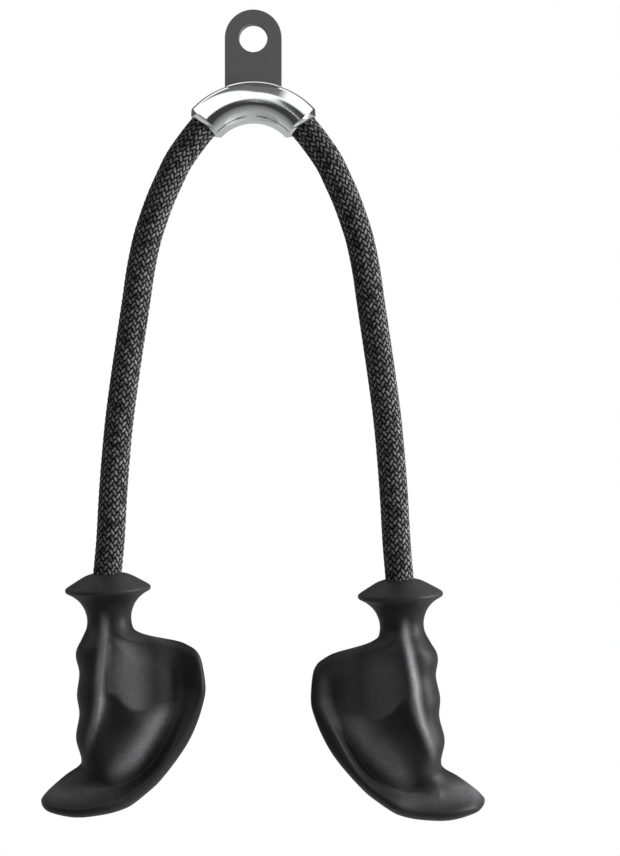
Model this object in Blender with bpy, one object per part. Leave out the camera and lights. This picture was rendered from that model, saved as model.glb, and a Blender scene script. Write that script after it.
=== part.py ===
"""Triceps rope attachment: an eye plate let into a bent saddle sleeve, one rope that runs through the sleeve,
and a moulded ergonomic grip that turns on each end of the rope.
Metres, +Z up, seen from -Y. The origin is the centre of the eye."""

import math

import bmesh
import bpy
import numpy as np
from mathutils import Matrix

for old in list(bpy.data.objects):
    bpy.data.objects.remove(old, do_unlink=True)

MM = 0.001

# Clearance between pieces that touch on the real object, and how far a cutter runs past what it cuts
GAP = 0.3 * MM
OVERRUN = 4.0 * MM

# Rope; the collar's bend is the most that a leg's end leans against its grip
ROPE_RADIUS = 8.0 * MM
ROPE_PLAY = 0.4 * MM
SHOULDER_LENGTH = 125.0 * MM
MOUTH_LEAD = 9.0 * MM
COLLAR_BEND = math.radians(8)
ROPE_POINT_SPACING = 13.0 * MM

# Eye plate
EYE_RADIUS = 8.4 * MM
PLATE_RADIUS = 16.5 * MM
PLATE_THICKNESS = 6.0 * MM
PLATE_EDGE = 0.5 * MM
EYE_TO_CROWN = 25.4 * MM
TENON_WIDTH = 18.0 * MM
TENON_THICKNESS = 4.0 * MM

# Saddle sleeve
SLEEVE_WALL = 3.4 * MM
SLEEVE_BEND = 37.2 * MM
SLEEVE_HALF_ANGLE = math.radians(51)
SLEEVE_CHAMFER = 2.4 * MM
SLEEVE_BORE = ROPE_RADIUS + ROPE_PLAY
SLEEVE_RADIUS = SLEEVE_BORE + SLEEVE_WALL
SLEEVE_CENTRE_Z = -(EYE_TO_CROWN + SLEEVE_RADIUS)
BEND_CENTRE_Z = SLEEVE_CENTRE_Z - SLEEVE_BEND

# Where the handles hang: the middle of each collar's rim plane, and its turn in the front view
LEFT_HANDLE_OUT = 84.6 * MM
LEFT_HANDLE_DROP = 319.7 * MM
LEFT_HANDLE_TURN = math.radians(2.3)
RIGHT_HANDLE_OUT = 85.5 * MM
RIGHT_HANDLE_DROP = 323.2 * MM
RIGHT_HANDLE_TURN = math.radians(2.6)

# Collar and neck of the grip, turned about the rope
COLLAR_RADIUS = 24.9 * MM
COLLAR_RISE = 8.7 * MM
NECK_RADIUS = 12.8 * MM
NECK_DROP = 19.0 * MM
NECK_BLEND = 20.0 * MM

# Outline of the grip in the front view, from the rim plane down, palm side positive
GRIP_DROP = 130.5 * MM
WING_REACH = 54.9 * MM
SHELF_REACH = 44.1 * MM
FINGER_REACH = 20.5 * MM

# Depth of the grip, front and back of the plane through the rope
STEM_FRONT = 17.5 * MM
STEM_BACK = 16.0 * MM
STEM_ROUND = 18.0 * MM
WING_BACK = 10.5 * MM
BACK_ROUND = 22.0 * MM
SHELF_FRONT = 28.0 * MM
SHELF_BACK = 22.0 * MM
SHELF_ROUND = 26.0 * MM
SHELF_TOP_DROP = 99.0 * MM
SHELF_EDGE_DROP = 118.0 * MM

# Palm side: ridge, thumb pad, wing's scoop, heel pad and raised rim
PALM_BLEND = 14.0 * MM
RIDGE_RISE = 2.1 * MM
RIDGE_WIDTH = 4.3 * MM
RIDGE_TOP_DROP = 17.0 * MM
RIDGE_FADE_DROP = 62.0 * MM
LIP_SHARE = 0.4
LIP_SPREAD = 3.2
GROOVE_BESIDE_RIDGE = 0.25 * MM
THUMB_FALL = 10.5 * MM
THUMB_REACH = 27.0 * MM
WING_FALL = 4.6 * MM
SCOOP_REACH = 40.0 * MM
PAD_EDGE = 3.8 * MM
PAD_EDGE_SOFT = 17.0 * MM
HEEL_FRONT = 14.6 * MM
HEEL_GROWTH = 3.8 * MM
HEEL_TOP_DROP = 76.0 * MM
HEEL_FULL_DROP = 101.0 * MM
HEEL_FLANK = 20.0 * MM
CREASE_STEM_FRONT = 14.2 * MM
CREASE_WING_FRONT = 6.0 * MM
RIM_SET_FORWARD = 6.0 * MM
RIM_BAND = 3.0 * MM
RIM_BULGE = 4.8 * MM
RIM_BULGE_DROP = 80.0 * MM
RIM_BULGE_HEIGHT = 15.0 * MM
RIM_LOW_BAND = 5.9 * MM
RIM_TOP_WALL = 5.0 * MM
RIM_WALL = 12.0 * MM
RIM_LOW_WALL = 4.5 * MM
RIM_TOP_DROP = 22.0 * MM
RIM_FULL_DROP = 44.0 * MM
RIM_LOW_DROP = 62.0 * MM
CREST_TOP = 8.0 * MM
CREST_GROWTH = 4.0
SHELF_BELLY = 8.6 * MM
SHELF_SLOPE = 9.5 * MM
GROOVE_PITCH = 24.0 * MM
GROOVE_DEPTH = 0.8 * MM
FIRST_BUMP_DROP = 38.0 * MM

# Pieces inside each grip
CORE_WALL = 1.8 * MM
CORE_BORE = ROPE_RADIUS + ROPE_PLAY
CORE_RADIUS = CORE_BORE + CORE_WALL
CORE_TOP_COVER = 3.2 * MM
POCKET_DEPTH = 32.5 * MM
POCKET_DROP = GRIP_DROP - POCKET_DEPTH
POCKET_RADIUS = 12.0 * MM
WASHER_THICKNESS = 2.0 * MM
FERRULE_LENGTH = 12.5 * MM
FERRULE_WALL = 1.9 * MM
PLUG_INSET = 15.0 * MM
PLUG_DROP = GRIP_DROP - PLUG_INSET
PLUG_THICKNESS = 6.5 * MM
PLUG_CHAMFER = 0.8 * MM

# Edges steeper than these are drawn sharp
SHARP_EDGE = math.radians(35)
GRIP_SHARP_EDGE = math.radians(80)

# Counts of faces
ROPE_SIDES = 12
TURNED_SIDES = 32
SLEEVE_SIDES = 24
SLEEVE_STEPS = 16
GRIP_COLUMNS = 19
CREST_COLUMN = 4
FOOT_COLUMN = 7
RIDGE_COLUMN = 13
GRIP_STEPS = 32
LINE_SAMPLES = 96
OUTLINE_STEPS = 8
STATION_PULL = 8.0 * MM

# Rim outline of the grip: shares of the wing's reach (the shelf's reach where negative) and of the grip's drop
RIM_OUTLINE_SHARES = [
    (0.242, 0.167), (0.271, 0.191), (0.406, 0.215), (0.723, 0.243), (0.849, 0.267), (0.920, 0.290),
    (0.969, 0.336), (1.000, 0.448), (0.973, 0.515), (0.902, 0.602), (0.798, 0.690), (0.650, 0.777),
    (0.474, 0.863), (0.352, 0.906), (0.220, 0.948), (0.124, 0.969), (-0.086, 0.990), (-0.472, 1.000),
    (-0.825, 0.978), (-0.955, 0.954), (-1.000, 0.928),
]  # fmt: skip
# Finger side of the grip from the neck to the shelf's tip: shares of the finger side's reach (the shelf's reach
# in the last three) and of the grip's drop
FINGER_OUTLINE_SHARES = [
    (0.663, 0.176), (0.820, 0.225), (0.956, 0.264), (0.985, 0.303), (0.907, 0.371), (1.000, 0.467),
    (0.951, 0.552), (1.073, 0.655), (0.946, 0.743), (1.015, 0.782),
]  # fmt: skip
SHELF_OUTLINE_SHARES = [(0.662, 0.824), (0.893, 0.887), (1.000, 0.928)]

# Ridge's line (palmward of the rope, share of the finger side's reach) and the lower edge of the thumb pad
# (share of the wing's reach), each against shares of the grip's drop
RIDGE_SHARES = [
    (-0.03, 0.19), (-0.10, 0.28), (-0.19, 0.38), (-0.22, 0.47), (-0.33, 0.55), (-0.46, 0.61), (-0.60, 0.68),
    (-0.70, 0.75), (-0.80, 0.82),
]  # fmt: skip
PAD_EDGE_SHARES = [
    (-0.20, 0.43), (0.04, 0.465), (0.15, 0.515), (0.26, 0.545), (0.38, 0.552), (0.52, 0.53), (0.68, 0.505),
    (0.85, 0.49),
]  # fmt: skip

# Collar of the grip: shares of its radius and of its rise above the rim plane, then of the neck's drop
DOME_SHARES = [
    (0.385, 1.0), (0.53, 0.94), (0.70, 0.74), (0.86, 0.47), (0.95, 0.28), (0.99, 0.12), (1.0, -0.04)
]  # fmt: skip
FLARE_SHARES = [
    (0.98, 0.09), (0.87, 0.165), (0.74, 0.29), (0.65, 0.42), (0.585, 0.56), (0.54, 0.72), (0.518, 0.86)
]  # fmt: skip

# Free route of the rope below the sleeve, left side, chosen by hand: out from the middle, down from the eye
ROUTE = [
    (43.3, 70.4), (49.1, 82.1), (54.2, 93.7), (58.4, 105.3), (62.0, 117.0), (65.6, 134.4), (68.2, 152.5),
    (71.6, 175.2), (75.0, 198.5), (78.0, 221.7), (80.2, 245.0), (81.9, 268.3), (83.2, 291.6),
]  # fmt: skip


def smooth01(x):
    """0 below 0, 1 above 1, and a smooth step between."""
    x = np.clip(x, 0.0, 1.0)
    return x * x * (3.0 - 2.0 * x)


def bell(x):
    """A smooth hump of height 1 at 0."""
    return np.exp(-x * x)


def round_end(x):
    """A quarter circle's height at a share x of its radius in from its edge."""
    return np.sqrt(np.maximum(0.0, 1.0 - (1.0 - np.clip(x, 0.0, 1.0)) ** 2))


def smooth_curve(points, steps):
    """Points of a smooth curve through the given points."""
    points = [np.array(p, float) for p in points]
    padded = [2 * points[0] - points[1], *points, 2 * points[-1] - points[-2]]
    curve = []
    for p0, p1, p2, p3 in zip(padded, padded[1:], padded[2:], padded[3:]):
        for k in range(steps):
            t = k / steps
            along = (p2 - p0) * t + (2 * p0 - 5 * p1 + 4 * p2 - p3) * t**2 + (3 * p1 - p0 - 3 * p2 + p3) * t**3
            curve.append(p1 + along / 2)
    curve.append(points[-1])
    return np.array(curve)


def arc_lengths(curve):
    """How far along the curve each of its points lies."""
    return np.concatenate([[0.0], np.cumsum(np.linalg.norm(np.diff(curve, axis=0), axis=1))])


def read_curve(curve, distances):
    """The points of a curve at the given distances along it."""
    lengths = arc_lengths(curve)
    return np.stack([np.interp(distances, lengths, axis) for axis in curve.T], axis=1)


def material(name, colour, roughness, metallic=0.0):
    finish = bpy.data.materials.new(name)
    finish.use_nodes = True
    shader = finish.node_tree.nodes["Principled BSDF"]
    shader.inputs["Base Color"].default_value = (*colour, 1.0)
    shader.inputs["Roughness"].default_value = roughness
    shader.inputs["Metallic"].default_value = metallic
    return finish


def piece_from(bm, name, finish, parent=None, sharp=SHARP_EDGE):
    """An object from a bmesh, shaded smooth except at its sharp edges."""
    bmesh.ops.recalc_face_normals(bm, faces=bm.faces)
    mesh = bpy.data.meshes.new(name)
    bm.to_mesh(mesh)
    bm.free()
    mesh.materials.append(finish)
    mesh.shade_smooth()
    mesh.set_sharp_from_angle(angle=sharp)
    piece = bpy.data.objects.new(name, mesh)
    bpy.context.collection.objects.link(piece)
    piece.parent = parent
    return piece


def wrapped_grid(around, along, place, closed_along=False):
    """A grid whose first direction is wrapped round, each point put at place(share around, share along)."""
    bm = bmesh.new()
    bmesh.ops.create_grid(bm, x_segments=around, y_segments=along, size=0.5)
    shares = np.array([(v.co.x + 0.5, v.co.y + 0.5) for v in bm.verts])
    for vert, point in zip(bm.verts, place(shares[:, 0], shares[:, 1])):
        vert.co = point
    bmesh.ops.remove_doubles(bm, verts=bm.verts, dist=GAP / 100)
    if not closed_along:
        bmesh.ops.holes_fill(bm, edges=[e for e in bm.edges if e.is_boundary])
    return bm


def turned(profile, sides=TURNED_SIDES):
    """A shape turned about Z from a profile of (radius, height): a ring, or solid where it meets the axis."""
    bm = bmesh.new()
    verts = [bm.verts.new((radius, 0.0, height)) for radius, height in profile]
    pairs = list(zip(verts, verts[1:]))
    if profile[0][0] > 0:
        pairs.append((verts[-1], verts[0]))
    edges = [bm.edges.new(pair) for pair in pairs]
    bmesh.ops.spin(
        bm, geom=verts + edges, cent=(0, 0, 0), axis=(0, 0, 1), angle=math.tau, steps=sides, use_merge=True
    )
    bmesh.ops.remove_doubles(bm, verts=bm.verts, dist=GAP / 100)
    return bm


def cutter(bm, name, parent=None):
    """A hidden object that only cuts others."""
    bmesh.ops.recalc_face_normals(bm, faces=bm.faces)
    mesh = bpy.data.meshes.new(name)
    bm.to_mesh(mesh)
    bm.free()
    shape = bpy.data.objects.new(name, mesh)
    bpy.context.collection.objects.link(shape)
    shape.parent = parent
    shape.hide_render = True
    shape.display_type = "WIRE"
    return shape


def box(size, centre):
    bm = bmesh.new()
    bmesh.ops.create_cube(bm, size=1.0, matrix=Matrix.Translation(centre) @ Matrix.Diagonal((*size, 1.0)))
    return bm


def combine(piece, shape, operation):
    boolean = piece.modifiers.new(operation.title(), "BOOLEAN")
    boolean.object = shape
    boolean.operation = operation
    boolean.solver = "EXACT"


def empty(name, place, parent=None, turn=0.0):
    """An empty on a joint's axis, turned in the front view, placed in the world."""
    marker = bpy.data.objects.new(name, None)
    bpy.context.collection.objects.link(marker)
    marker.empty_display_size = ROPE_RADIUS
    world = Matrix.Translation(place) @ Matrix.Rotation(-turn, 4, "Y")
    marker.parent = parent
    marker.matrix_basis = parent_world(parent).inverted() @ world
    return marker


def parent_world(marker):
    world = Matrix.Identity(4)
    while marker is not None:
        world = marker.matrix_basis @ world
        marker = marker.parent
    return world


def bend_points(angle, radius, around):
    """Points about the sleeve's bend: angle from its top, then radius and turn about its middle line."""
    reach = SLEEVE_BEND + radius * np.cos(around)
    return np.stack([reach * np.sin(angle), radius * np.sin(around), BEND_CENTRE_Z + reach * np.cos(angle)], axis=1)


def bent_tube(profile, sides, closed_along):
    """A tube round the sleeve's bend from a profile of (angle, radius)."""
    angles, radii = np.array(profile).T
    stations = np.arange(len(profile))

    def place(around, along):
        station = along * stations[-1]
        angle, radius = np.interp(station, stations, angles), np.interp(station, stations, radii)
        return bend_points(angle, radius, math.tau * around)

    return wrapped_grid(sides, len(profile) - 1, place, closed_along)


# Finishes
plate_coat = material("plate_coat", (0.09, 0.09, 0.092), 0.5)
chrome = material("chrome", (0.82, 0.82, 0.83), 0.08, 1.0)
braid = material("braid", (0.02, 0.02, 0.022), 0.6)
grip_rubber = material("grip_rubber", (0.025, 0.025, 0.027), 0.5)
core_nylon = material("core_nylon", (0.6, 0.6, 0.58), 0.4)
zinc_steel = material("zinc_steel", (0.62, 0.63, 0.65), 0.3, 1.0)
plug_rubber = material("plug_rubber", (0.03, 0.03, 0.032), 0.55)


# Saddle sleeve: a bent tube with chamfered mouths, slotted on its crown for the plate's tenon
def make_sleeve():
    chamfer_angle = SLEEVE_CHAMFER / SLEEVE_BEND
    even = np.linspace(-1.0, 1.0, SLEEVE_STEPS + 1)
    outside = [(a, SLEEVE_RADIUS) for a in even * (SLEEVE_HALF_ANGLE - chamfer_angle)]
    inside = [(a, SLEEVE_BORE) for a in -even * SLEEVE_HALF_ANGLE]
    mouth = SLEEVE_RADIUS - SLEEVE_CHAMFER
    start = (-SLEEVE_HALF_ANGLE, mouth)
    profile = [start, *outside, (SLEEVE_HALF_ANGLE, mouth), *inside, start]
    sleeve = piece_from(bent_tube(profile, SLEEVE_SIDES, True), "saddle_sleeve", chrome)
    low = SLEEVE_CENTRE_Z + SLEEVE_BORE / 2
    high = SLEEVE_CENTRE_Z + SLEEVE_RADIUS + OVERRUN
    slot = box((TENON_WIDTH + 2 * GAP, TENON_THICKNESS + 2 * GAP, high - low), (0, 0, (high + low) / 2))
    combine(sleeve, cutter(slot, "tenon_slot_cutter"), "DIFFERENCE")


# Eye plate: round head with the carabiner's eye, its foot coped to the sleeve, a tenon in the sleeve's slot
def make_plate():
    outline = [(PLATE_RADIUS, SLEEVE_CENTRE_Z)]
    for k in range(TURNED_SIDES + 1):
        angle = math.pi * k / TURNED_SIDES
        outline.append((PLATE_RADIUS * math.cos(angle), PLATE_RADIUS * math.sin(angle)))
    outline.append((-PLATE_RADIUS, SLEEVE_CENTRE_Z))
    bm = bmesh.new()
    face = bm.faces.new([bm.verts.new((x, -PLATE_THICKNESS / 2, z)) for x, z in outline])
    sweep = bmesh.ops.extrude_face_region(bm, geom=[face])
    swept = [v for v in sweep["geom"] if isinstance(v, bmesh.types.BMVert)]
    bmesh.ops.translate(bm, verts=swept, vec=(0, PLATE_THICKNESS, 0))
    plate = piece_from(bm, "hanger_tab", plate_coat)

    edges = plate.modifiers.new("Edges", "BEVEL")
    edges.width = PLATE_EDGE
    edges.segments = 1
    edges.limit_method = "ANGLE"
    edges.angle_limit = math.radians(60)

    half = PLATE_THICKNESS / 2
    broken = EYE_RADIUS + PLATE_EDGE + OVERRUN
    eye = turned([
        (0, -half - OVERRUN), (broken, -half - OVERRUN), (EYE_RADIUS, -half + PLATE_EDGE),
        (EYE_RADIUS, half - PLATE_EDGE), (broken, half + OVERRUN), (0, half + OVERRUN),
    ])  # fmt: skip
    bmesh.ops.rotate(eye, verts=eye.verts, cent=(0, 0, 0), matrix=Matrix.Rotation(math.pi / 2, 3, "X"))
    combine(plate, cutter(eye, "eye_cutter"), "DIFFERENCE")

    even = np.linspace(-1.0, 1.0, SLEEVE_STEPS + 1)
    cope = [(a, SLEEVE_RADIUS + GAP) for a in even * (SLEEVE_HALF_ANGLE + OVERRUN / SLEEVE_BEND)]
    combine(plate, cutter(bent_tube(cope, SLEEVE_SIDES, False), "cope_cutter"), "DIFFERENCE")

    low = SLEEVE_CENTRE_Z + ROPE_RADIUS + GAP
    high = SLEEVE_CENTRE_Z + SLEEVE_RADIUS + OVERRUN
    tenon = box((TENON_WIDTH, TENON_THICKNESS, high - low), (0, 0, (high + low) / 2))
    combine(plate, cutter(tenon, "tenon_form"), "UNION")


# Rope: one braided rope, in the sleeve, free down each side, and inside each grip
def make_rope_in_sleeve():
    even = np.linspace(-1.0, 1.0, SLEEVE_STEPS + 1)
    profile = [(a, ROPE_RADIUS) for a in even * SLEEVE_HALF_ANGLE]
    piece_from(bent_tube(profile, ROPE_SIDES, False), "rope_in_sleeve", braid)


def mouth_frame(side):
    """The middle of a sleeve's mouth and the direction in which the rope leaves it."""
    angle = SLEEVE_HALF_ANGLE
    place = np.array([side * SLEEVE_BEND * math.sin(angle), 0.0, BEND_CENTRE_Z + SLEEVE_BEND * math.cos(angle)])
    return place, np.array([side * math.cos(angle), 0.0, -math.sin(angle)])


def free_route(side, collar, turn):
    """The middle line of a free leg of the rope, from the sleeve's mouth to the lip of the collar."""
    mouth, leaving = mouth_frame(side)
    up = np.array([-math.sin(turn), 0.0, math.cos(turn)])
    lip = collar + up * COLLAR_RISE
    chosen = [np.array([side * out * MM, 0.0, -down * MM]) for out, down in ROUTE]
    return smooth_curve([mouth, mouth + leaving * MOUTH_LEAD, *chosen, lip], OUTLINE_STEPS)


def free_stretch(name, curve, start, end, pivot):
    """A tube along part of a leg, its origin at the pivot that it bends at."""
    square_end = ROPE_RADIUS / 4
    count = max(2, round((end - start) / ROPE_POINT_SPACING)) + 1
    stations = [start, *np.linspace(start + square_end, end - square_end, count), end]
    points = read_curve(curve, stations) - np.array(parent_world(pivot).translation)
    data = bpy.data.curves.new(name, "CURVE")
    data.dimensions = "3D"
    data.bevel_depth = ROPE_RADIUS
    data.bevel_resolution = ROPE_SIDES // 2 - 2
    data.use_fill_caps = True
    spline = data.splines.new("POLY")
    spline.points.add(len(points) - 1)
    for place, point in zip(spline.points, points):
        place.co = (*point, 1.0)
    data.materials.append(braid)
    stretch = bpy.data.objects.new(name, data)
    bpy.context.collection.objects.link(stretch)
    stretch.parent = pivot


# Grip: collar and neck turned about the rope, then one moulded form of stem, palm wing and shelf
def rim_outline():
    """The grip's outline from the neck over the wing and round the base to the shelf's tip, as (palmward, drop)."""
    points = [(NECK_RADIUS, NECK_DROP)]
    for reach, drop in RIM_OUTLINE_SHARES:
        points.append((reach * (WING_REACH if reach > 0 else SHELF_REACH), drop * GRIP_DROP))
    return smooth_curve(points, OUTLINE_STEPS)


def finger_outline():
    """The grip's outline down the finger side, from the neck to the shelf's tip."""
    points = [(-NECK_RADIUS, NECK_DROP)]
    points += [(-reach * FINGER_REACH, drop * GRIP_DROP) for reach, drop in FINGER_OUTLINE_SHARES]
    points += [(-reach * SHELF_REACH, drop * GRIP_DROP) for reach, drop in SHELF_OUTLINE_SHARES]
    return smooth_curve(points, OUTLINE_STEPS)


def distance_to(curve, palmward, drop):
    """How far each point (palmward, drop) lies from a curve."""
    start, end = curve[:-1], curve[1:]
    run = end - start
    nearest = np.full(palmward.shape, np.inf)
    for s, r in zip(start, run):
        share = np.clip(((palmward - s[0]) * r[0] + (drop - s[1]) * r[1]) / (r @ r), 0.0, 1.0)
        nearest = np.minimum(nearest, np.hypot(palmward - s[0] - share * r[0], drop - s[1] - share * r[1]))
    return nearest


def blend(a, b, share):
    return a + (b - a) * share


def out_of_neck(a, b):
    """How far the round neck has passed into the palm side's relief, from 0 to 1."""
    return np.maximum(smooth01((b - NECK_DROP) / PALM_BLEND), smooth01(a / NECK_RADIUS - 1.0))


def line_at(shares, across, down, drops):
    """How far palmward a line given by shares of (across, down) lies at the given drops."""
    line = smooth_curve(np.array(shares) * (across, down), OUTLINE_STEPS)
    return np.interp(drops, line[:, 1], line[:, 0])


def ridge_distance(a, b):
    """How far palmward of the ridge's line a point lies."""
    return a - line_at(RIDGE_SHARES, FINGER_REACH, GRIP_DROP, b)


def palm_floor(a, b, rim_in):
    """How far the palm side stands in front of the rope's plane, inside its rim."""
    past_ridge = ridge_distance(a, b)
    thumb = STEM_FRONT - THUMB_FALL * smooth01(a / THUMB_REACH)
    thumb -= WING_FALL * smooth01((a - THUMB_REACH) / (SCOOP_REACH - THUMB_REACH))

    band, slope = rim_shape(a, b)
    crease = blend(CREASE_STEM_FRONT, CREASE_WING_FRONT, smooth01((a - NECK_RADIUS / 2) / THUMB_REACH))
    heel = HEEL_FRONT + HEEL_GROWTH * smooth01((b - HEEL_TOP_DROP) / (HEEL_FULL_DROP - HEEL_TOP_DROP))
    heel = blend(crease, heel, smooth01((rim_in - band - slope) / HEEL_FLANK))
    spread = smooth01((b - RIDGE_FADE_DROP) / (SHELF_TOP_DROP - RIDGE_FADE_DROP))
    lip = RIDGE_WIDTH * blend(1.0, LIP_SPREAD, spread)
    heel = blend(heel, STEM_FRONT, smooth01(1.0 - past_ridge / lip))

    edge = smooth_curve(np.array(PAD_EDGE_SHARES) * (WING_REACH, GRIP_DROP), OUTLINE_STEPS)
    below_pad = b - np.interp(a, edge[:, 0], edge[:, 1])
    softness = blend(PAD_EDGE, PAD_EDGE_SOFT, smooth01(a / THUMB_REACH))
    front = blend(thumb, heel, smooth01(below_pad / softness + 0.5))

    fade = blend(1.0, LIP_SHARE, smooth01((b - RIDGE_FADE_DROP) / NECK_BLEND))
    span = smooth01((b - RIDGE_TOP_DROP) / NECK_BLEND) * smooth01((SHELF_TOP_DROP - b) / NECK_BLEND)
    front += RIDGE_RISE * np.maximum(0.0, 1.0 - (past_ridge / RIDGE_WIDTH) ** 2) ** 1.2 * fade * span
    front -= GROOVE_BESIDE_RIDGE * bell((past_ridge + RIDGE_WIDTH) / (RIDGE_WIDTH / 3)) * span
    return blend(NECK_RADIUS, front, out_of_neck(a, b))


def rim_shape(a, b):
    """How far in from the rim's outline its crest stands, and how wide the wall inside the crest is."""
    shelf = smooth01((b - SHELF_TOP_DROP) / (SHELF_EDGE_DROP - SHELF_TOP_DROP))
    lower = smooth01((b - RIM_LOW_DROP) / (RIM_BULGE_DROP - RIM_LOW_DROP))
    band = blend(RIM_BAND, RIM_LOW_BAND, lower)
    band += (RIM_BULGE - RIM_LOW_BAND / 2) * bell((b - RIM_BULGE_DROP) / RIM_BULGE_HEIGHT)
    band = blend(NECK_RADIUS, blend(band, SHELF_BELLY, shelf), out_of_neck(a, b))
    slope = blend(RIM_TOP_WALL, RIM_WALL, smooth01((b - RIM_TOP_DROP) / (RIM_FULL_DROP - RIM_TOP_DROP)))
    slope = blend(slope, RIM_LOW_WALL, lower)
    slope = blend(slope, SHELF_SLOPE, shelf * smooth01((WING_REACH / 2 - a) / SHELF_REACH))
    return band, slope


def grip_faces(a, b, finger_in, rim_in):
    """The grip's front and back (y) at points a palmward of the rope and b below the collar's rim plane, which
    lie finger_in from its finger side and rim_in from its rim."""
    below_neck = smooth01((b - NECK_DROP) / NECK_BLEND)
    wing = smooth01((a - NECK_RADIUS / 2) / (WING_REACH - NECK_RADIUS / 2))
    shelf = smooth01((b - SHELF_TOP_DROP) / (SHELF_EDGE_DROP - SHELF_TOP_DROP))
    edge = -RIM_SET_FORWARD * wing
    band, slope = rim_shape(a, b)

    floor = palm_floor(a, b, rim_in)
    crest = CREST_TOP + (SHELF_FRONT - CREST_TOP) * np.clip(b / SHELF_EDGE_DROP, 0.0, 1.0) ** CREST_GROWTH
    crest = blend(floor, crest, smooth01((b - RIM_TOP_DROP) / (RIM_FULL_DROP - RIM_TOP_DROP)))
    front = blend(crest, floor, smooth01((rim_in - band) / slope))
    finger_round = blend(blend(NECK_RADIUS, STEM_ROUND, below_neck), SHELF_ROUND, shelf)
    ends = round_end(finger_in / finger_round)
    front_y = edge + (-front - edge) * round_end(rim_in / band) * ends

    groove = GROOVE_DEPTH * (0.5 - 0.5 * np.cos(math.tau * (b - FIRST_BUMP_DROP) / GROOVE_PITCH))
    back = blend(NECK_RADIUS, STEM_BACK - groove * (1.0 - wing), below_neck)
    back = blend(back, WING_BACK, wing * below_neck)
    back = blend(back, SHELF_BACK, shelf * (1.0 - wing))
    back_round = blend(NECK_RADIUS, BACK_ROUND, below_neck)
    back_y = edge + (back - edge) * round_end(rim_in / back_round) * ends
    return front_y, back_y


def bend_stations(curve, count):
    """Distances along a curve, closer together where it bends."""
    run = np.diff(curve, axis=0)
    heading = np.unwrap(np.arctan2(run[:, 1], run[:, 0]))
    turning = np.concatenate([[0.0], np.cumsum(np.abs(np.diff(heading, prepend=heading[0])))])
    lengths = arc_lengths(curve)
    return np.interp(np.linspace(0.0, 1.0, count), (lengths + STATION_PULL * turning) / (
        lengths[-1] + STATION_PULL * turning[-1]), lengths)


def section_shares(rim_point, finger_point, rim):
    """Where the columns lie along a section of the grip, from its rim (0) to its finger side (1). One column each
    follows the rim's crest, the foot of the wall inside the crest, and the ridge."""
    fine = np.linspace(0.0, 1.0, LINE_SAMPLES)
    a, b = rim_point[:, None] + (finger_point - rim_point)[:, None] * fine
    rim_in = distance_to(rim, a, b)
    band, slope = rim_shape(a, b)
    ridge = np.clip(fine[np.argmax(ridge_distance(a, b) < 0.0)], 0.5, 0.85)
    crest = min(fine[np.argmax(rim_in >= band)] or 1.0, ridge * 0.6)
    foot = min(fine[np.argmax(rim_in >= band + slope)] or 1.0, blend(crest, ridge, 0.6))
    column = np.arange(GRIP_COLUMNS + 1)
    outer = 1.0 - np.cos(math.pi / 2 * np.clip(column / CREST_COLUMN, 0.0, 1.0))
    wall = np.clip((column - CREST_COLUMN) / (FOOT_COLUMN - CREST_COLUMN), 0.0, 1.0)
    palm = np.clip((column - FOOT_COLUMN) / (RIDGE_COLUMN - FOOT_COLUMN), 0.0, 1.0)
    finger = np.sin(math.pi / 2 * np.clip((column - RIDGE_COLUMN) / (GRIP_COLUMNS - RIDGE_COLUMN), 0.0, 1.0))
    return crest * outer + (foot - crest) * wall + (ridge - foot) * palm + (1.0 - ridge) * finger


def grip_form(side):
    """The grip as one closed skin, in the handle's own frame: palm side towards side * +X, rim plane at Z 0.
    Round rings make the collar. Below the neck the sections fan out from its finger side to its rim, and close
    at the shelf's tip."""
    collar = [(radius * COLLAR_RADIUS, rise * COLLAR_RISE) for radius, rise in DOME_SHARES]
    collar += [(radius * COLLAR_RADIUS, -drop * NECK_DROP) for radius, drop in FLARE_SHARES]
    rim, finger = rim_outline(), finger_outline()
    rim_points = read_curve(rim, bend_stations(rim, GRIP_STEPS + 1))
    finger_points = read_curve(finger, bend_stations(finger, GRIP_STEPS + 1))
    rings = []
    for radius, height in collar:
        turn = np.arange(2 * GRIP_COLUMNS) * math.pi / GRIP_COLUMNS
        rings.append(np.stack([radius * np.cos(turn), -radius * np.sin(turn), 0 * turn + height], axis=1))
    for rim_point, finger_point in zip(rim_points, finger_points):
        shares = section_shares(rim_point, finger_point, rim)
        a, b = rim_point[:, None] + (finger_point - rim_point)[:, None] * shares
        finger_in = np.linalg.norm(finger_point - rim_point) * (1.0 - shares)
        front, back = grip_faces(a, b, finger_in, distance_to(rim, a, b))
        front_side = np.stack([a, front, -b], axis=1)
        back_side = np.stack([a, back, -b], axis=1)
        rings.append(np.concatenate([front_side, back_side[-2:0:-1]]))
    rings = np.array(rings) * (side, 1, 1)

    def place(around, along):
        ring = np.rint(along * (len(rings) - 1)).astype(int)
        return rings[ring, np.rint(around * 2 * GRIP_COLUMNS).astype(int) % (2 * GRIP_COLUMNS)]

    return wrapped_grid(2 * GRIP_COLUMNS, len(rings) - 1, place)


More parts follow.
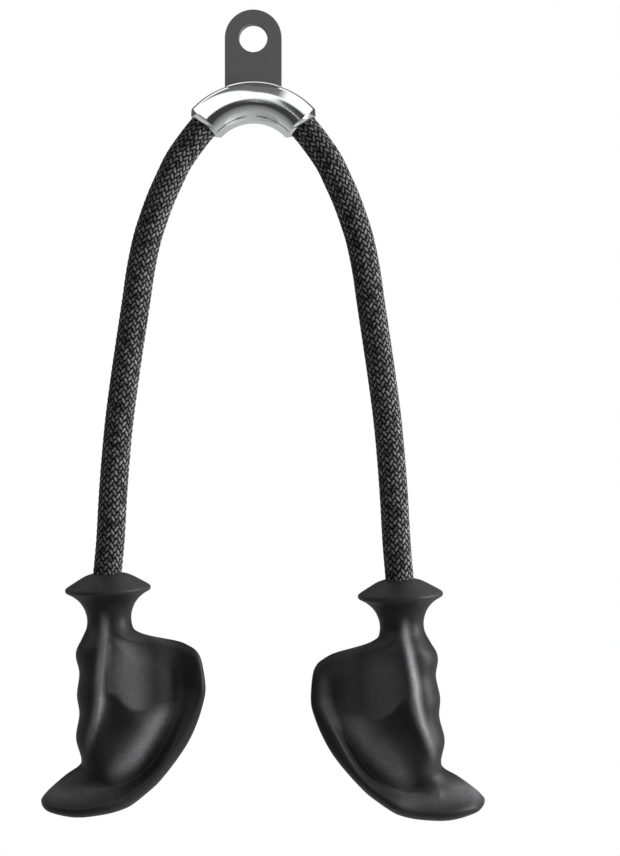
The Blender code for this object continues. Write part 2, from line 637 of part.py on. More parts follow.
def make_handle(name, side, collar, turn, tilt_pivot):
    """One grip with what is inside it. The tail and its ferrule stay on the rope, the rest turns round them."""
    held = empty(f"{name}_rope_end", collar, tilt_pivot, turn)
    turning = empty(f"{name}_turn_axis", collar, held, turn)

    grip = piece_from(grip_form(side), f"{name}_grip", grip_rubber, turning, GRIP_SHARP_EDGE)
    core_top = COLLAR_RISE - CORE_TOP_COVER
    bore = turned([
        (0, COLLAR_RISE + OVERRUN), (CORE_BORE, COLLAR_RISE + OVERRUN), (CORE_BORE, core_top + GAP),
        (CORE_RADIUS + GAP, core_top + GAP), (CORE_RADIUS + GAP, -POCKET_DROP), (POCKET_RADIUS, -POCKET_DROP),
        (POCKET_RADIUS, -GRIP_DROP - OVERRUN), (0, -GRIP_DROP - OVERRUN),
    ])  # fmt: skip
    combine(grip, cutter(bore, f"{name}_bore_cutter", turning), "DIFFERENCE")

    core_end = -POCKET_DROP + GAP
    core = [(CORE_BORE, core_end), (CORE_RADIUS, core_end), (CORE_RADIUS, core_top), (CORE_BORE, core_top)]
    piece_from(turned(core), f"{name}_core_tube", core_nylon, turning)

    washer_top = -POCKET_DROP - GAP
    washer_low = washer_top - WASHER_THICKNESS
    rim = POCKET_RADIUS - GAP
    washer = [(CORE_BORE, washer_low), (rim, washer_low), (rim, washer_top), (CORE_BORE, washer_top)]
    piece_from(turned(washer), f"{name}_washer", zinc_steel, turning)

    ferrule_top = washer_low - GAP
    ferrule_low = ferrule_top - FERRULE_LENGTH
    inner, outer = ROPE_RADIUS + GAP, ROPE_RADIUS + GAP + FERRULE_WALL
    ferrule = [(inner, ferrule_low), (outer, ferrule_low), (outer, ferrule_top), (inner, ferrule_top)]
    piece_from(turned(ferrule), f"{name}_ferrule", zinc_steel, held)

    tail_top = COLLAR_RISE - ROPE_RADIUS * math.sin(COLLAR_BEND) - GAP
    tail = [(0, ferrule_low), (ROPE_RADIUS, ferrule_low), (ROPE_RADIUS, tail_top), (0, tail_top)]
    piece_from(turned(tail), f"rope_{name}_tail", braid, held)

    plug_low = -PLUG_DROP - PLUG_THICKNESS
    plug = [
        (0, -PLUG_DROP), (rim, -PLUG_DROP), (rim, plug_low + PLUG_CHAMFER), (rim - PLUG_CHAMFER, plug_low),
        (0, plug_low),
    ]  # fmt: skip
    piece_from(turned(plug), f"{name}_plug", plug_rubber, turning)


def make_side(name, side, out, drop, turn):
    """One leg of the rope and its handle. Each empty stands on the axis of one joint."""
    collar = np.array([side * out, 0.0, -drop])
    route = free_route(side, collar, turn)
    length = arc_lengths(route)[-1]
    mouth, knee, lip = read_curve(route, [0.0, SHOULDER_LENGTH, length])
    spread = empty(f"{name}_spread_axis", mouth)
    swing = empty(f"{name}_swing_axis", knee, spread)
    tilt = empty(f"{name}_tilt_axis", lip, swing)
    free_stretch(f"rope_{name}_shoulder", route, GAP, SHOULDER_LENGTH - GAP / 2, spread)
    free_stretch(f"rope_{name}_leg", route, SHOULDER_LENGTH + GAP / 2, length, swing)
    make_handle(name, side * -1, collar, turn, tilt)


make_sleeve()
make_plate()
make_rope_in_sleeve()
make_side("left", -1, LEFT_HANDLE_OUT, LEFT_HANDLE_DROP, LEFT_HANDLE_TURN)
make_side("right", 1, RIGHT_HANDLE_OUT, RIGHT_HANDLE_DROP, RIGHT_HANDLE_TURN)
bpy.context.view_layer.update()
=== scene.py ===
"""Triceps rope attachment, dressed and lit as in its photograph: an eye plate on a bent chrome sleeve, a
black braided rope through the sleeve, and a moulded rubber grip on each end of the rope.
Metres, +Z up, seen from -Y. The origin is the centre of the eye, from which everything hangs."""

import math

import bmesh
import bpy
import numpy as np
from mathutils import Matrix, Vector


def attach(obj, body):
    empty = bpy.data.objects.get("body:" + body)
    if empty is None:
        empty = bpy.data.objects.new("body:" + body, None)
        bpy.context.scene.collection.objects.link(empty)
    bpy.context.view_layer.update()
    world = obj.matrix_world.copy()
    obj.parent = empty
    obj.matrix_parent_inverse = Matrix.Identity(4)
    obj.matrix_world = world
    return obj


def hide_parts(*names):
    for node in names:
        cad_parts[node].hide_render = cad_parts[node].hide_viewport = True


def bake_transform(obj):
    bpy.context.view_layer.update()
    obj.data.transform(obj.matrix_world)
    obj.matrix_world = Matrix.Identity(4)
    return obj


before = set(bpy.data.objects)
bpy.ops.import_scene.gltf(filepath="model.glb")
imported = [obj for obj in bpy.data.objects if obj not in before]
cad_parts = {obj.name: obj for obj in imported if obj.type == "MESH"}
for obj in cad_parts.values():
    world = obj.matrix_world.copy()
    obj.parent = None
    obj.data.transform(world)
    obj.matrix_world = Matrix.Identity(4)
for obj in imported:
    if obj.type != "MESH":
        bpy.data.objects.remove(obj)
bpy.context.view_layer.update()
scene = bpy.context.scene
scene.view_settings.view_transform = "Standard"

# Camera
# The photograph was taken level with the middle of the legs, from a little right of the eye. Its scale
# comes from the rope, and its distance from how far the eye's hole and the shelves are seen from below and
# above.
MM = 0.001
PIXEL = 0.582 * MM
PHOTO_HEIGHT = 856
PHOTO_CENTRE = (310.0, 428.0)
EYE_IN_PHOTO = (253.4, 39.0)
VIEW_DISTANCE = 0.9277

camera_lens = bpy.data.cameras.new("photo_camera")
camera_lens.sensor_fit = "VERTICAL"
camera_lens.lens = camera_lens.sensor_height * VIEW_DISTANCE / (PHOTO_HEIGHT * PIXEL)
camera_lens.clip_start = 0.01
camera = bpy.data.objects.new("photo_camera", camera_lens)
camera.location = (
    (PHOTO_CENTRE[0] - EYE_IN_PHOTO[0]) * PIXEL,
    -VIEW_DISTANCE,
    (EYE_IN_PHOTO[1] - PHOTO_CENTRE[1]) * PIXEL,
)
camera.rotation_euler = (math.pi / 2, 0.0, 0.0)
scene.collection.objects.link(camera)
scene.camera = camera


# Route of the rope
# One braided rope, 16 mm thick, runs through the sleeve and hangs down on both sides into the grips. Its
# stiff legs leave the sleeve sideways and curve down. Distances are counted along each leg from the sleeve's
# mouth. ROUTE is each leg's free line as (outward, drop) in millimetres from the eye. A handle's values are
# its side, how far out and how far down its collar's rim stands, and how far it leans.
ROPE_DIAMETER = 16.0 * MM
SLEEVE_BEND = 37.2 * MM
SLEEVE_HALF_ANGLE = math.radians(51)
SLEEVE_RADIUS = 11.8 * MM
SLEEVE_CENTRE_Z = -37.2 * MM
BEND_CENTRE_Z = SLEEVE_CENTRE_Z - SLEEVE_BEND
MOUTH_LEAD = 9.0 * MM
COLLAR_RISE = 8.7 * MM
TAIL_END_DROP = 113.1 * MM
ROUTE = [
    (43.3, 70.4), (49.1, 82.1), (54.2, 93.7), (58.4, 105.3), (62.0, 117.0), (65.6, 134.4), (68.2, 152.5),
    (71.6, 175.2), (75.0, 198.5), (78.0, 221.7), (80.2, 245.0), (81.9, 268.3), (83.2, 291.6),
]  # fmt: skip
HANDLES = {
    "left": (-1, 84.6 * MM, 319.7 * MM, math.radians(2.3)),
    "right": (1, 85.5 * MM, 323.2 * MM, math.radians(2.6)),
}
OUTLINE_STEPS = 8
SLEEVE_POINTS = 60
HEADING_REACH = 3.0 * MM


def smooth_curve(points, steps=OUTLINE_STEPS):
    """Points of a smooth curve through the given points."""
    points = [np.array(p, float) for p in points]
    padded = [2 * points[0] - points[1], *points, 2 * points[-1] - points[-2]]
    curve = []
    for p0, p1, p2, p3 in zip(padded, padded[1:], padded[2:], padded[3:]):
        for k in range(steps):
            t = k / steps
            square = (2 * p0 - 5 * p1 + 4 * p2 - p3) * t**2
            cube = (3 * p1 - p0 - 3 * p2 + p3) * t**3
            curve.append(p1 + ((p2 - p0) * t + square + cube) / 2)
    curve.append(points[-1])
    return np.array(curve)


def arc_lengths(curve):
    """How far along the curve each of its points lies."""
    return np.concatenate([[0.0], np.cumsum(np.linalg.norm(np.diff(curve, axis=0), axis=1))])


def read_curve(curve, distances):
    """The points of a curve at the given distances along it."""
    lengths = arc_lengths(curve)
    return np.stack([np.interp(distances, lengths, axis) for axis in curve.T], axis=1)


def distance_to(curve, across, down):
    """How far each point (across, down) lies from a curve."""
    nearest = np.full(across.shape, np.inf)
    for s, r in zip(curve[:-1], np.diff(curve, axis=0)):
        share = np.clip(((across - s[0]) * r[0] + (down - s[1]) * r[1]) / (r @ r), 0.0, 1.0)
        nearest = np.minimum(nearest, np.hypot(across - s[0] - share * r[0], down - s[1] - share * r[1]))
    return nearest


class RopeLine:
    """The middle line of one side of the rope, from inside the sleeve to the rope's end inside the grip."""

    def __init__(self, side, out, drop, turn):
        collar = np.array([side * out, 0.0, -drop])
        up = np.array([-math.sin(turn), 0.0, math.cos(turn)])
        lip = collar + up * COLLAR_RISE
        angles = np.linspace(-SLEEVE_HALF_ANGLE, SLEEVE_HALF_ANGLE, SLEEVE_POINTS)
        in_sleeve = np.stack([
            side * SLEEVE_BEND * np.sin(angles), 0 * angles, BEND_CENTRE_Z + SLEEVE_BEND * np.cos(angles),
        ], axis=1)  # fmt: skip
        mouth = in_sleeve[-1]
        leaving = np.array([side * math.cos(SLEEVE_HALF_ANGLE), 0.0, -math.sin(SLEEVE_HALF_ANGLE)])
        chosen = [np.array([side * x * MM, 0.0, -z * MM]) for x, z in ROUTE]
        free = smooth_curve([mouth, mouth + leaving * MOUTH_LEAD, *chosen, lip])
        inside_grip = [collar - up * TAIL_END_DROP]
        self.curve = np.concatenate([in_sleeve[:-1], free, inside_grip])
        self.sleeve_length = arc_lengths(in_sleeve)[-1]
        self.free_length = arc_lengths(free)[-1]
        self.end = self.free_length + COLLAR_RISE + TAIL_END_DROP

    def points(self, distances):
        return read_curve(self.curve, np.asarray(distances, float) + self.sleeve_length)

    def frames(self, distances):
        """Places on the line, and the two directions square to it at each."""
        places = self.points(distances)
        ahead = self.points(np.minimum(distances + HEADING_REACH, self.end))
        along = ahead - self.points(distances - HEADING_REACH)
        along /= np.linalg.norm(along, axis=1)[:, None]
        front = np.tile([0.0, -1.0, 0.0], (len(places), 1))
        return places, np.cross(along, front), front


rope_lines = {name: RopeLine(*place) for name, place in HANDLES.items()}


# Braided rope
# A tubular braid of 44 flat black yarns over a core, each yarn passing over two and under two of those that
# run the other way. Each leg is made in three lengths that meet where the rope doesn't bend, and each length
# holds one bend: at the sleeve's mouth, halfway down and at the collar's lip. A yarn goes over and under in
# cycles of four crossings: CROSSING_SHIFT is where it is on top, and CROSSING_SLOPE how steeply it gets
# there.
YARNS_EACH_WAY = 22
BRAID_PITCH = 84.0 * MM
BRAID_DIAMETER = 16.6 * MM
YARN_WIDTH = 1.95 * MM
YARN_THICKNESS = 0.8 * MM
YARN_LIFT = 0.36 * MM
CROWN_FOOT = 7.8 * MM
YARN_SIDES = 8
YARN_STEP = 0.62 * MM
HIDDEN_YARN_STEP = 1.4 * MM
YARN_HEADING_REACH = 0.1 * MM
CROSSING_SHIFT = 1.5
CROSSING_SLOPE = 1.25
CORE_SIDES = 24
UPPER_START = -15.0 * MM
UPPER_END = 82.0 * MM
MIDDLE_END = 179.0 * MM
LIP_COVER = 13.0 * MM
MOUTH_BEND = (-8.0 * MM, 24.0 * MM)
LEG_BEND = (95.0 * MM, 155.0 * MM)
LIP_BEND = (-22.0 * MM, 5.0 * MM)
PATH_STEP = 4.0 * MM
WELD = 0.002 * MM


def yarn_ring(line, distances, hand, number, shares):
    """Points round a yarn's section at each distance along the line."""
    def centre(s):
        places, side, front = line.frames(s)
        angle = math.tau * (number / YARNS_EACH_WAY + hand * s / BRAID_PITCH)
        crossing = 2 * YARNS_EACH_WAY * s / BRAID_PITCH
        over = np.cos(math.tau * (2 * number + hand * crossing - CROSSING_SHIFT + hand) / 4)
        over = np.sin(math.pi / 2 * np.clip(CROSSING_SLOPE * over, -1.0, 1.0))
        middle = BRAID_DIAMETER / 2 - YARN_THICKNESS / 2 - YARN_LIFT
        outward = np.cos(angle)[:, None] * side + np.sin(angle)[:, None] * front
        return places + (middle + YARN_LIFT * over)[:, None] * outward, outward

    place, outward = centre(distances)
    run = centre(distances + YARN_HEADING_REACH)[0] - centre(distances - YARN_HEADING_REACH)[0]
    run /= np.linalg.norm(run, axis=1)[:, None]
    across = np.cross(run, outward)
    across /= np.linalg.norm(across, axis=1)[:, None]
    lifted = np.cross(across, run)
    turn = math.tau * shares
    wide = YARN_WIDTH / 2 * np.cos(turn)
    high = YARN_THICKNESS / 2 * np.sin(turn)
    return place + wide[:, None] * across + high[:, None] * lifted


def place_grid(bm, around, along, place):
    """Adds a grid to bm, wrapped round by place(shares around, shares along)."""
    made = bmesh.ops.create_grid(bm, x_segments=around, y_segments=along, size=0.5, calc_uvs=True)
    shares = np.array([(v.co.x + 0.5, v.co.y + 0.5) for v in made["verts"]])
    for vert, point in zip(made["verts"], place(shares[:, 0], shares[:, 1])):
        vert.co = point


def finish_mesh(bm, name, sharp):
    """A closed, outward-facing object from bm, shaded smooth except at its sharp edges."""
    bmesh.ops.remove_doubles(bm, verts=bm.verts, dist=WELD)
    bmesh.ops.holes_fill(bm, edges=[e for e in bm.edges if e.is_boundary])
    bmesh.ops.recalc_face_normals(bm, faces=bm.faces)
    mesh = bpy.data.meshes.new(name)
    bm.to_mesh(mesh)
    bm.free()
    mesh.shade_smooth()
    mesh.set_sharp_from_angle(angle=sharp)
    piece = bpy.data.objects.new(name, mesh)
    scene.collection.objects.link(piece)
    return piece


def braided_length(name, line, start, end, step):
    """One length of the rope between two distances along its line."""
    bm = bmesh.new()
    bm.loops.layers.uv.new("yarn")
    rows = max(2, round((end - start) / step))
    for hand in (1, -1):
        for number in range(YARNS_EACH_WAY):
            place_grid(bm, YARN_SIDES, rows, lambda around, along: yarn_ring(
                line, start + along * (end - start), hand, number, around))  # fmt: skip

    def core(around, along):
        places, side, front = line.frames(start + along * (end - start))
        radius = BRAID_DIAMETER / 2 - YARN_THICKNESS - 2 * YARN_LIFT + YARN_THICKNESS / 4
        turn = math.tau * around
        return places + radius * (np.cos(turn)[:, None] * side + np.sin(turn)[:, None] * front)

    place_grid(bm, CORE_SIDES, max(2, rows // 4), core)
    middle = line.points(np.linspace(start, end, rows // 4 + 2))
    points = np.array([v.co for v in bm.verts])
    reach = np.hypot(distance_to(middle[:, ::2], points[:, 0], points[:, 2]), points[:, 1])
    # How high each point stands on its yarn: the colour uses it for painted highlight on crowns, painted
    # shade in gaps.
    crown = bm.verts.layers.float.new("crown")
    shares = np.clip((reach - CROWN_FOOT) / (BRAID_DIAMETER / 2 - CROWN_FOOT), 0.0, 1.0)
    for vert, share in zip(bm.verts, shares):
        vert[crown] = share
    return finish_mesh(bm, name, math.radians(60))


class Wired:
    """A socket's value in a shader. Sums and products with it add the Math nodes."""

    def __init__(self, finish, socket):
        self.finish = finish
        self.socket = socket

    def beside(self, output):
        """Another output of the same node."""
        return Wired(self.finish, self.socket.node.outputs[output])

    def math(self, operation, *values):
        return self.finish.node("ShaderNodeMath", {"operation": operation}, dict(enumerate(values)))

    def __add__(self, other):
        return self.math("ADD", self, other)

    def __radd__(self, other):
        return self.math("ADD", other, self)

    def __sub__(self, other):
        return self.math("SUBTRACT", self, other)

    def __rsub__(self, other):
        return self.math("SUBTRACT", other, self)

    def __mul__(self, other):
        return self.math("MULTIPLY", self, other)

    def __rmul__(self, other):
        return self.math("MULTIPLY", other, self)

    def __truediv__(self, other):
        return self.math("DIVIDE", self, other)

    def __pow__(self, other):
        return self.math("POWER", self, other)


class Finish:
    """A node tree that is being wired up, of a material or of the world."""

    def __init__(self, owner):
        owner.use_nodes = True
        self.owner = owner
        self.tree = owner.node_tree

    def node(self, kind, settings=None, sockets=None, output=0):
        """Adds a node, sets its settings and then its sockets, and returns one of its outputs."""
        node = self.tree.nodes.new(kind)
        for name, value in (settings or {}).items():
            if name == "stops":
                ramp = node.color_ramp
                while len(ramp.elements) < len(value):
                    ramp.elements.new(1.0)
                for element, (position, colour) in zip(ramp.elements, value):
                    element.position = position
                    element.color = (*colour, 1.0) if len(colour) == 3 else colour
            else:
                setattr(node, name, value)
        for name, value in (sockets or {}).items():
            self.connect(node.inputs[name], value)
        return Wired(self, node.outputs[output])

    def connect(self, socket, value):
        if isinstance(value, Wired):
            self.tree.links.new(value.socket, socket)
        elif isinstance(value, tuple) and socket.type == "RGBA" and len(value) == 3:
            socket.default_value = (*value, 1.0)
        else:
            socket.default_value = value

    def shade(self, **values):
        """Sets the Principled shader's sockets: Base_Color stands for Base Color."""
        shader = self.tree.nodes["Principled BSDF"]
        for name, value in values.items():
            self.connect(shader.inputs[name.replace("_", " ")], value)
        return self.owner

    def noise(self, place, scale, detail, roughness):
        """Noise from 0 to 1, with its scale in cells per metre."""
        sockets = {"Vector": place, "Scale": scale, "Detail": detail, "Roughness": roughness}
        return self.node("ShaderNodeTexNoise", {}, sockets)

    def bump(self, height, distance, strength):
        return self.node("ShaderNodeBump", {}, {"Height": height, "Distance": distance, "Strength": strength})

    def object_place(self):
        return self.node("ShaderNodeTexCoord", {}, {}, "Object")

    def colours(self, share, low, high):
        """The colour a share of the way from low to high."""
        return self.node("ShaderNodeMix", {"data_type": "RGBA"}, {"Factor": share, 6: low, 7: high}, 2)


def new_finish(name):
    return Finish(bpy.data.materials.new(name))


def rope_finish():
    """Black synthetic yarn, finely filamented: painted dark shade between yarns, painted grey highlight on
    crowns.
    """
    finish = new_finish("black_braid")
    place = finish.object_place()
    along_yarn = finish.node("ShaderNodeUVMap", {"uv_map": "yarn"})
    stretched = finish.node(
        "ShaderNodeMapping", {"vector_type": "POINT"}, {"Vector": along_yarn, "Scale": (34.0, 22.0, 1.0)}
    )
    filaments = finish.noise(stretched, 1.0, 2.0, 0.6)
    cloud = finish.noise(place, 300.0, 2.0, 0.5)
    mottle = finish.node("ShaderNodeMapRange", {}, {"Value": cloud, "From Min": 0.34, "From Max": 0.66})
    crown = finish.node("ShaderNodeAttribute", {"attribute_name": "crown"}, {}, "Fac")
    # Painted highlight on the yarns' crowns and painted shade in the gaps, broken up by a random mottle.
    colour = finish.colours(crown ** 4.0 * (0.12 + 0.88 * mottle), (0.001, 0.001, 0.001), (0.30, 0.30, 0.305))
    relief = finish.bump(filaments, 0.12 * MM, 0.8)
    return finish.shade(Base_Color=colour, Roughness=0.62 + 0.12 * mottle, Normal=relief, IOR=1.2)


rope_black = rope_finish()


def dress(piece, material, body, slot, *nodes):
    """Gives a finished piece its material, its body and the CAD nodes that it stands for; its slot is not
    used.
    """
    piece.data.materials.clear()
    piece.data.materials.append(material)
    if body is not None:
        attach(piece, body)
    if nodes:
        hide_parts(*nodes)


for name, line in rope_lines.items():
    lip = line.free_length
    shoulder, leg, rope_end = f"{name}_shoulder", f"{name}_leg", f"{name}_rope_end"
    lengths = [
        ("upper", UPPER_START, UPPER_END, 0.0, "hanger", shoulder, MOUTH_BEND, [f"rope_{shoulder}"]),
        ("middle", UPPER_END, MIDDLE_END, UPPER_END, shoulder, leg, LEG_BEND,
         [f"rope_{shoulder}", f"rope_{leg}"]),
        ("lower", MIDDLE_END, lip + LIP_COVER, MIDDLE_END, leg, rope_end, lip + np.array(LIP_BEND),
         [f"rope_{leg}"]),
    ]  # fmt: skip
    for part, start, end, leaves, body, next_body, bend, nodes in lengths:
        piece = braided_length(f"rope_{name}_{part}_braid", line, start, end, YARN_STEP)
        dress(piece, rope_black, None, "braid", *nodes)
        bend_start, bend_end = line.points(np.array(bend))
        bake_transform(piece)
        count = round((end - start) / PATH_STEP) + 1
        tuple(line.points(np.array([leaves]))[0])
        [tuple(point) for point in line.points(np.linspace(start, end, count))]
    tail = braided_length(f"rope_{name}_end_braid", line, lip + LIP_COVER, line.end, HIDDEN_YARN_STEP)
    dress(tail, rope_black, rope_end, "braid", f"rope_{name}_tail")

left_line = rope_lines["left"]
in_sleeve = braided_length(
    "rope_sleeve_braid", left_line, -left_line.sleeve_length - UPPER_START, UPPER_START, HIDDEN_YARN_STEP
)
dress(in_sleeve, rope_black, "hanger", "braid", "rope_in_sleeve")


# Saddle sleeve
# A bright chromed steel tube, bent over the rope's crown, with broad chamfers at its two mouths. The eye
# plate's tenon goes into a slot in its crown.
SLEEVE_BORE = 8.4 * MM
SLEEVE_CHAMFER = 2.4 * MM
SLEEVE_SIDES = 96
SLEEVE_ROWS = 64
MOUTH_ROUNDING = 0.25 * MM
TENON_WIDTH = 18.0 * MM
TENON_THICKNESS = 4.0 * MM
SEAT_GAP = 0.3 * MM
OVERRUN = 4.0 * MM


def round_end(x):
    """The height of a rounded end at x along it: a quarter circle from 0 to 1."""
    return np.sqrt(np.maximum(0.0, 1.0 - (1.0 - np.clip(x, 0.0, 1.0)) ** 2))


def bend_points(angle, radius, around):
    """Points about the sleeve's bend: angle from its top, then radius and turn about its middle line."""
    reach = SLEEVE_BEND + radius * np.cos(around)
    up = BEND_CENTRE_Z + reach * np.cos(angle)
    return np.stack([reach * np.sin(angle), radius * np.sin(around), up], axis=1)


def bent_tube(bm, profile, sides):
    """Adds a tube round the sleeve's bend from a profile of (angle, radius)."""
    angles, radii = np.array(profile).T
    stations = np.arange(len(profile))

    def place(around, along):
        station = along * stations[-1]
        angle, radius = np.interp(station, stations, angles), np.interp(station, stations, radii)
        return bend_points(angle, radius, math.tau * around)

    place_grid(bm, sides, len(profile) - 1, place)


def box_cutter(name, size, centre):
    bm = bmesh.new()
    bmesh.ops.create_cube(bm, size=1.0, matrix=Matrix.Translation(centre) @ Matrix.Diagonal((*size, 1.0)))
    return finish_mesh(bm, name, math.radians(30))


def cut(piece, shape, operation="DIFFERENCE"):
    """Combines a piece with a shape, applies it and drops the shape."""
    boolean = piece.modifiers.new("cut", "BOOLEAN")
    boolean.object = shape
    boolean.operation = operation
    boolean.solver = "EXACT"
    apply_modifiers(piece)
    bpy.data.objects.remove(shape, do_unlink=True)


def apply_modifiers(piece):
    bpy.context.view_layer.update()
    made = bpy.data.meshes.new_from_object(piece.evaluated_get(bpy.context.evaluated_depsgraph_get()))
    piece.modifiers.clear()
    piece.data = made


sleeve_mesh = bmesh.new()
shortened = SLEEVE_HALF_ANGLE - SLEEVE_CHAMFER / SLEEVE_BEND
even = np.linspace(-1.0, 1.0, SLEEVE_ROWS + 1)
mouth = SLEEVE_RADIUS - SLEEVE_CHAMFER
rounding = MOUTH_ROUNDING / SLEEVE_BEND
right_end = [
    (shortened - rounding, SLEEVE_RADIUS),
    (shortened + rounding, SLEEVE_RADIUS - MOUTH_ROUNDING),
    (SLEEVE_HALF_ANGLE - rounding, mouth + MOUTH_ROUNDING),
    (SLEEVE_HALF_ANGLE, mouth - MOUTH_ROUNDING),
    (SLEEVE_HALF_ANGLE, SLEEVE_BORE + MOUTH_ROUNDING),
    (SLEEVE_HALF_ANGLE - rounding, SLEEVE_BORE),
]
left_end = [(-angle, radius) for angle, radius in reversed(right_end)]
sleeve_profile = left_end[2:] + [(a * (shortened - 2 * rounding), SLEEVE_RADIUS) for a in even] + right_end
sleeve_profile += [(-a * (SLEEVE_HALF_ANGLE - 2 * rounding), SLEEVE_BORE) for a in even] + left_end[:3]
bent_tube(sleeve_mesh, sleeve_profile, SLEEVE_SIDES)
sleeve = finish_mesh(sleeve_mesh, "bent_saddle_sleeve", math.radians(35))
slot_low = SLEEVE_CENTRE_Z + SLEEVE_BORE / 2
slot_high = SLEEVE_CENTRE_Z + SLEEVE_RADIUS + OVERRUN
slot_size = (TENON_WIDTH + 2 * SEAT_GAP, TENON_THICKNESS + 2 * SEAT_GAP, slot_high - slot_low)
cut(sleeve, box_cutter("tenon_slot", slot_size, (0.0, 0.0, (slot_high + slot_low) / 2)))


def chrome_finish():
    """Bright chrome plating: almost a mirror, with faint polishing waves and a few soft smears."""
    finish = new_finish("bright_chrome")
    place = finish.object_place()
    waves = finish.noise(place, 60.0, 2.0, 0.4)
    smears = finish.noise(place, 140.0, 4.0, 0.6)
    relief = finish.bump(waves, 0.3 * MM, 0.05)
    return finish.shade(
        Base_Color=(0.86, 0.865, 0.87), Metallic=1.0, Roughness=0.08 + 0.06 * smears, Normal=relief
    )


chrome = chrome_finish()
dress(sleeve, chrome, "hanger", "chrome", "saddle_sleeve")


# Eye plate
# A 6 mm steel plate with a round head and the carabiner's hole, its edges broken, coated dark grey. Its foot
# is coped to the sleeve, its tenon fills the slot in the sleeve's crown, and a polished bead runs along each
# face where the two meet.
EYE_RADIUS = 8.2 * MM
PLATE_RADIUS = 16.5 * MM
PLATE_THICKNESS = 6.0 * MM
PLATE_EDGE = 0.4 * MM
HEAD_SIDES = 96
EDGE_SEGMENTS = 3
COPE_GAP = 0.02 * MM
BEAD_SECTION = np.array([(0.0, -0.9), (1.3, -1.0), (0.95, 0.15), (0.0, 0.3)]) * MM
BEAD_SINK = 0.2 * MM
BEAD_ENDS = 4
BEAD_ROWS = 64


def turned(profile, sides):
    """A bmesh turned about Z from a profile of (radius, height): a ring, or solid where it meets the axis."""
    bm = bmesh.new()
    verts = [bm.verts.new((radius, 0.0, height)) for radius, height in profile]
    pairs = list(zip(verts, verts[1:]))
    if profile[0][0] > 0:
        pairs.append((verts[-1], verts[0]))
    edges = [bm.edges.new(pair) for pair in pairs]
    bmesh.ops.spin(
        bm, geom=verts + edges, cent=(0, 0, 0), axis=(0, 0, 1), angle=math.tau, steps=sides, use_merge=True
    )
    return bm


plate_mesh = bmesh.new()
plate_outline = [(PLATE_RADIUS, SLEEVE_CENTRE_Z)]
for k in range(HEAD_SIDES + 1):
    angle = math.pi * k / HEAD_SIDES
    plate_outline.append((PLATE_RADIUS * math.cos(angle), PLATE_RADIUS * math.sin(angle)))
plate_outline.append((-PLATE_RADIUS, SLEEVE_CENTRE_Z))
front_verts = [plate_mesh.verts.new((x, -PLATE_THICKNESS / 2, z)) for x, z in plate_outline]
plate_face = plate_mesh.faces.new(front_verts)
swept = bmesh.ops.extrude_face_region(plate_mesh, geom=[plate_face])["geom"]
swept = [v for v in swept if isinstance(v, bmesh.types.BMVert)]
bmesh.ops.translate(plate_mesh, verts=swept, vec=(0, PLATE_THICKNESS, 0))
long_edges = [e for e in plate_mesh.edges if abs(e.verts[0].co.y - e.verts[1].co.y) < MM / 10]
bmesh.ops.bevel(
    plate_mesh, geom=long_edges, offset=PLATE_EDGE, affect="EDGES", segments=EDGE_SEGMENTS, profile=0.5,
    material=-1,
)  # fmt: skip
plate = finish_mesh(plate_mesh, "eye_plate", math.radians(40))

half = PLATE_THICKNESS / 2
eye_profile = [(0, -half - OVERRUN), (EYE_RADIUS + PLATE_EDGE + OVERRUN, -half - OVERRUN)]
eye_profile += [(EYE_RADIUS + PLATE_EDGE * (1 - math.sin(t)), -half + PLATE_EDGE * (1 - math.cos(t)))
                for t in np.linspace(0.0, math.pi / 2, EDGE_SEGMENTS + 1)]  # fmt: skip
eye_profile += [(radius, -height) for radius, height in reversed(eye_profile[1:])] + [(0, half + OVERRUN)]
eye_mesh = turned(eye_profile, HEAD_SIDES)
bmesh.ops.rotate(eye_mesh, verts=eye_mesh.verts, cent=(0, 0, 0), matrix=Matrix.Rotation(math.pi / 2, 3, "X"))
cut(plate, finish_mesh(eye_mesh, "eye_bore", math.radians(30)))

cope_mesh = bmesh.new()
cope_reach = SLEEVE_HALF_ANGLE + OVERRUN / SLEEVE_BEND
bent_tube(cope_mesh, [(a * cope_reach, SLEEVE_RADIUS + COPE_GAP) for a in even], SLEEVE_SIDES)
cut(plate, finish_mesh(cope_mesh, "cope", math.radians(30)))
tenon_low = SLEEVE_CENTRE_Z + ROPE_DIAMETER / 2 + SEAT_GAP
tenon_size = (TENON_WIDTH, TENON_THICKNESS, slot_high - tenon_low)
cut(plate, box_cutter("tenon", tenon_size, (0.0, 0.0, (slot_high + tenon_low) / 2)), "UNION")
plate.data.shade_smooth()
plate.data.set_sharp_from_angle(angle=math.radians(12))


def weld_bead(name, side):
    """The polished bead between one face of the plate's foot and the sleeve."""
    foot = math.sqrt(SLEEVE_RADIUS**2 - half**2)
    reach = math.asin((PLATE_RADIUS - PLATE_EDGE) / (SLEEVE_BEND + foot))
    bm = bmesh.new()

    def place(around, along):
        angle = reach * (2 * along - 1)
        corner = np.rint(around * len(BEAD_SECTION)).astype(int) % len(BEAD_SECTION)
        out, up = BEAD_SECTION[corner].T
        thin = round_end((1 - abs(2 * along - 1)) * BEAD_ENDS)
        radius = SLEEVE_BEND + foot + up * thin
        y = side * (half - BEAD_SINK + out * thin)
        return np.stack([radius * np.sin(angle), y, BEND_CENTRE_Z + radius * np.cos(angle)], axis=1)

    place_grid(bm, len(BEAD_SECTION), BEAD_ROWS, place)
    return finish_mesh(bm, name, math.radians(40))


for name, side in (("front_weld_bead", -1), ("back_weld_bead", 1)):
    dress(weld_bead(name, side), chrome, "hanger", "chrome")


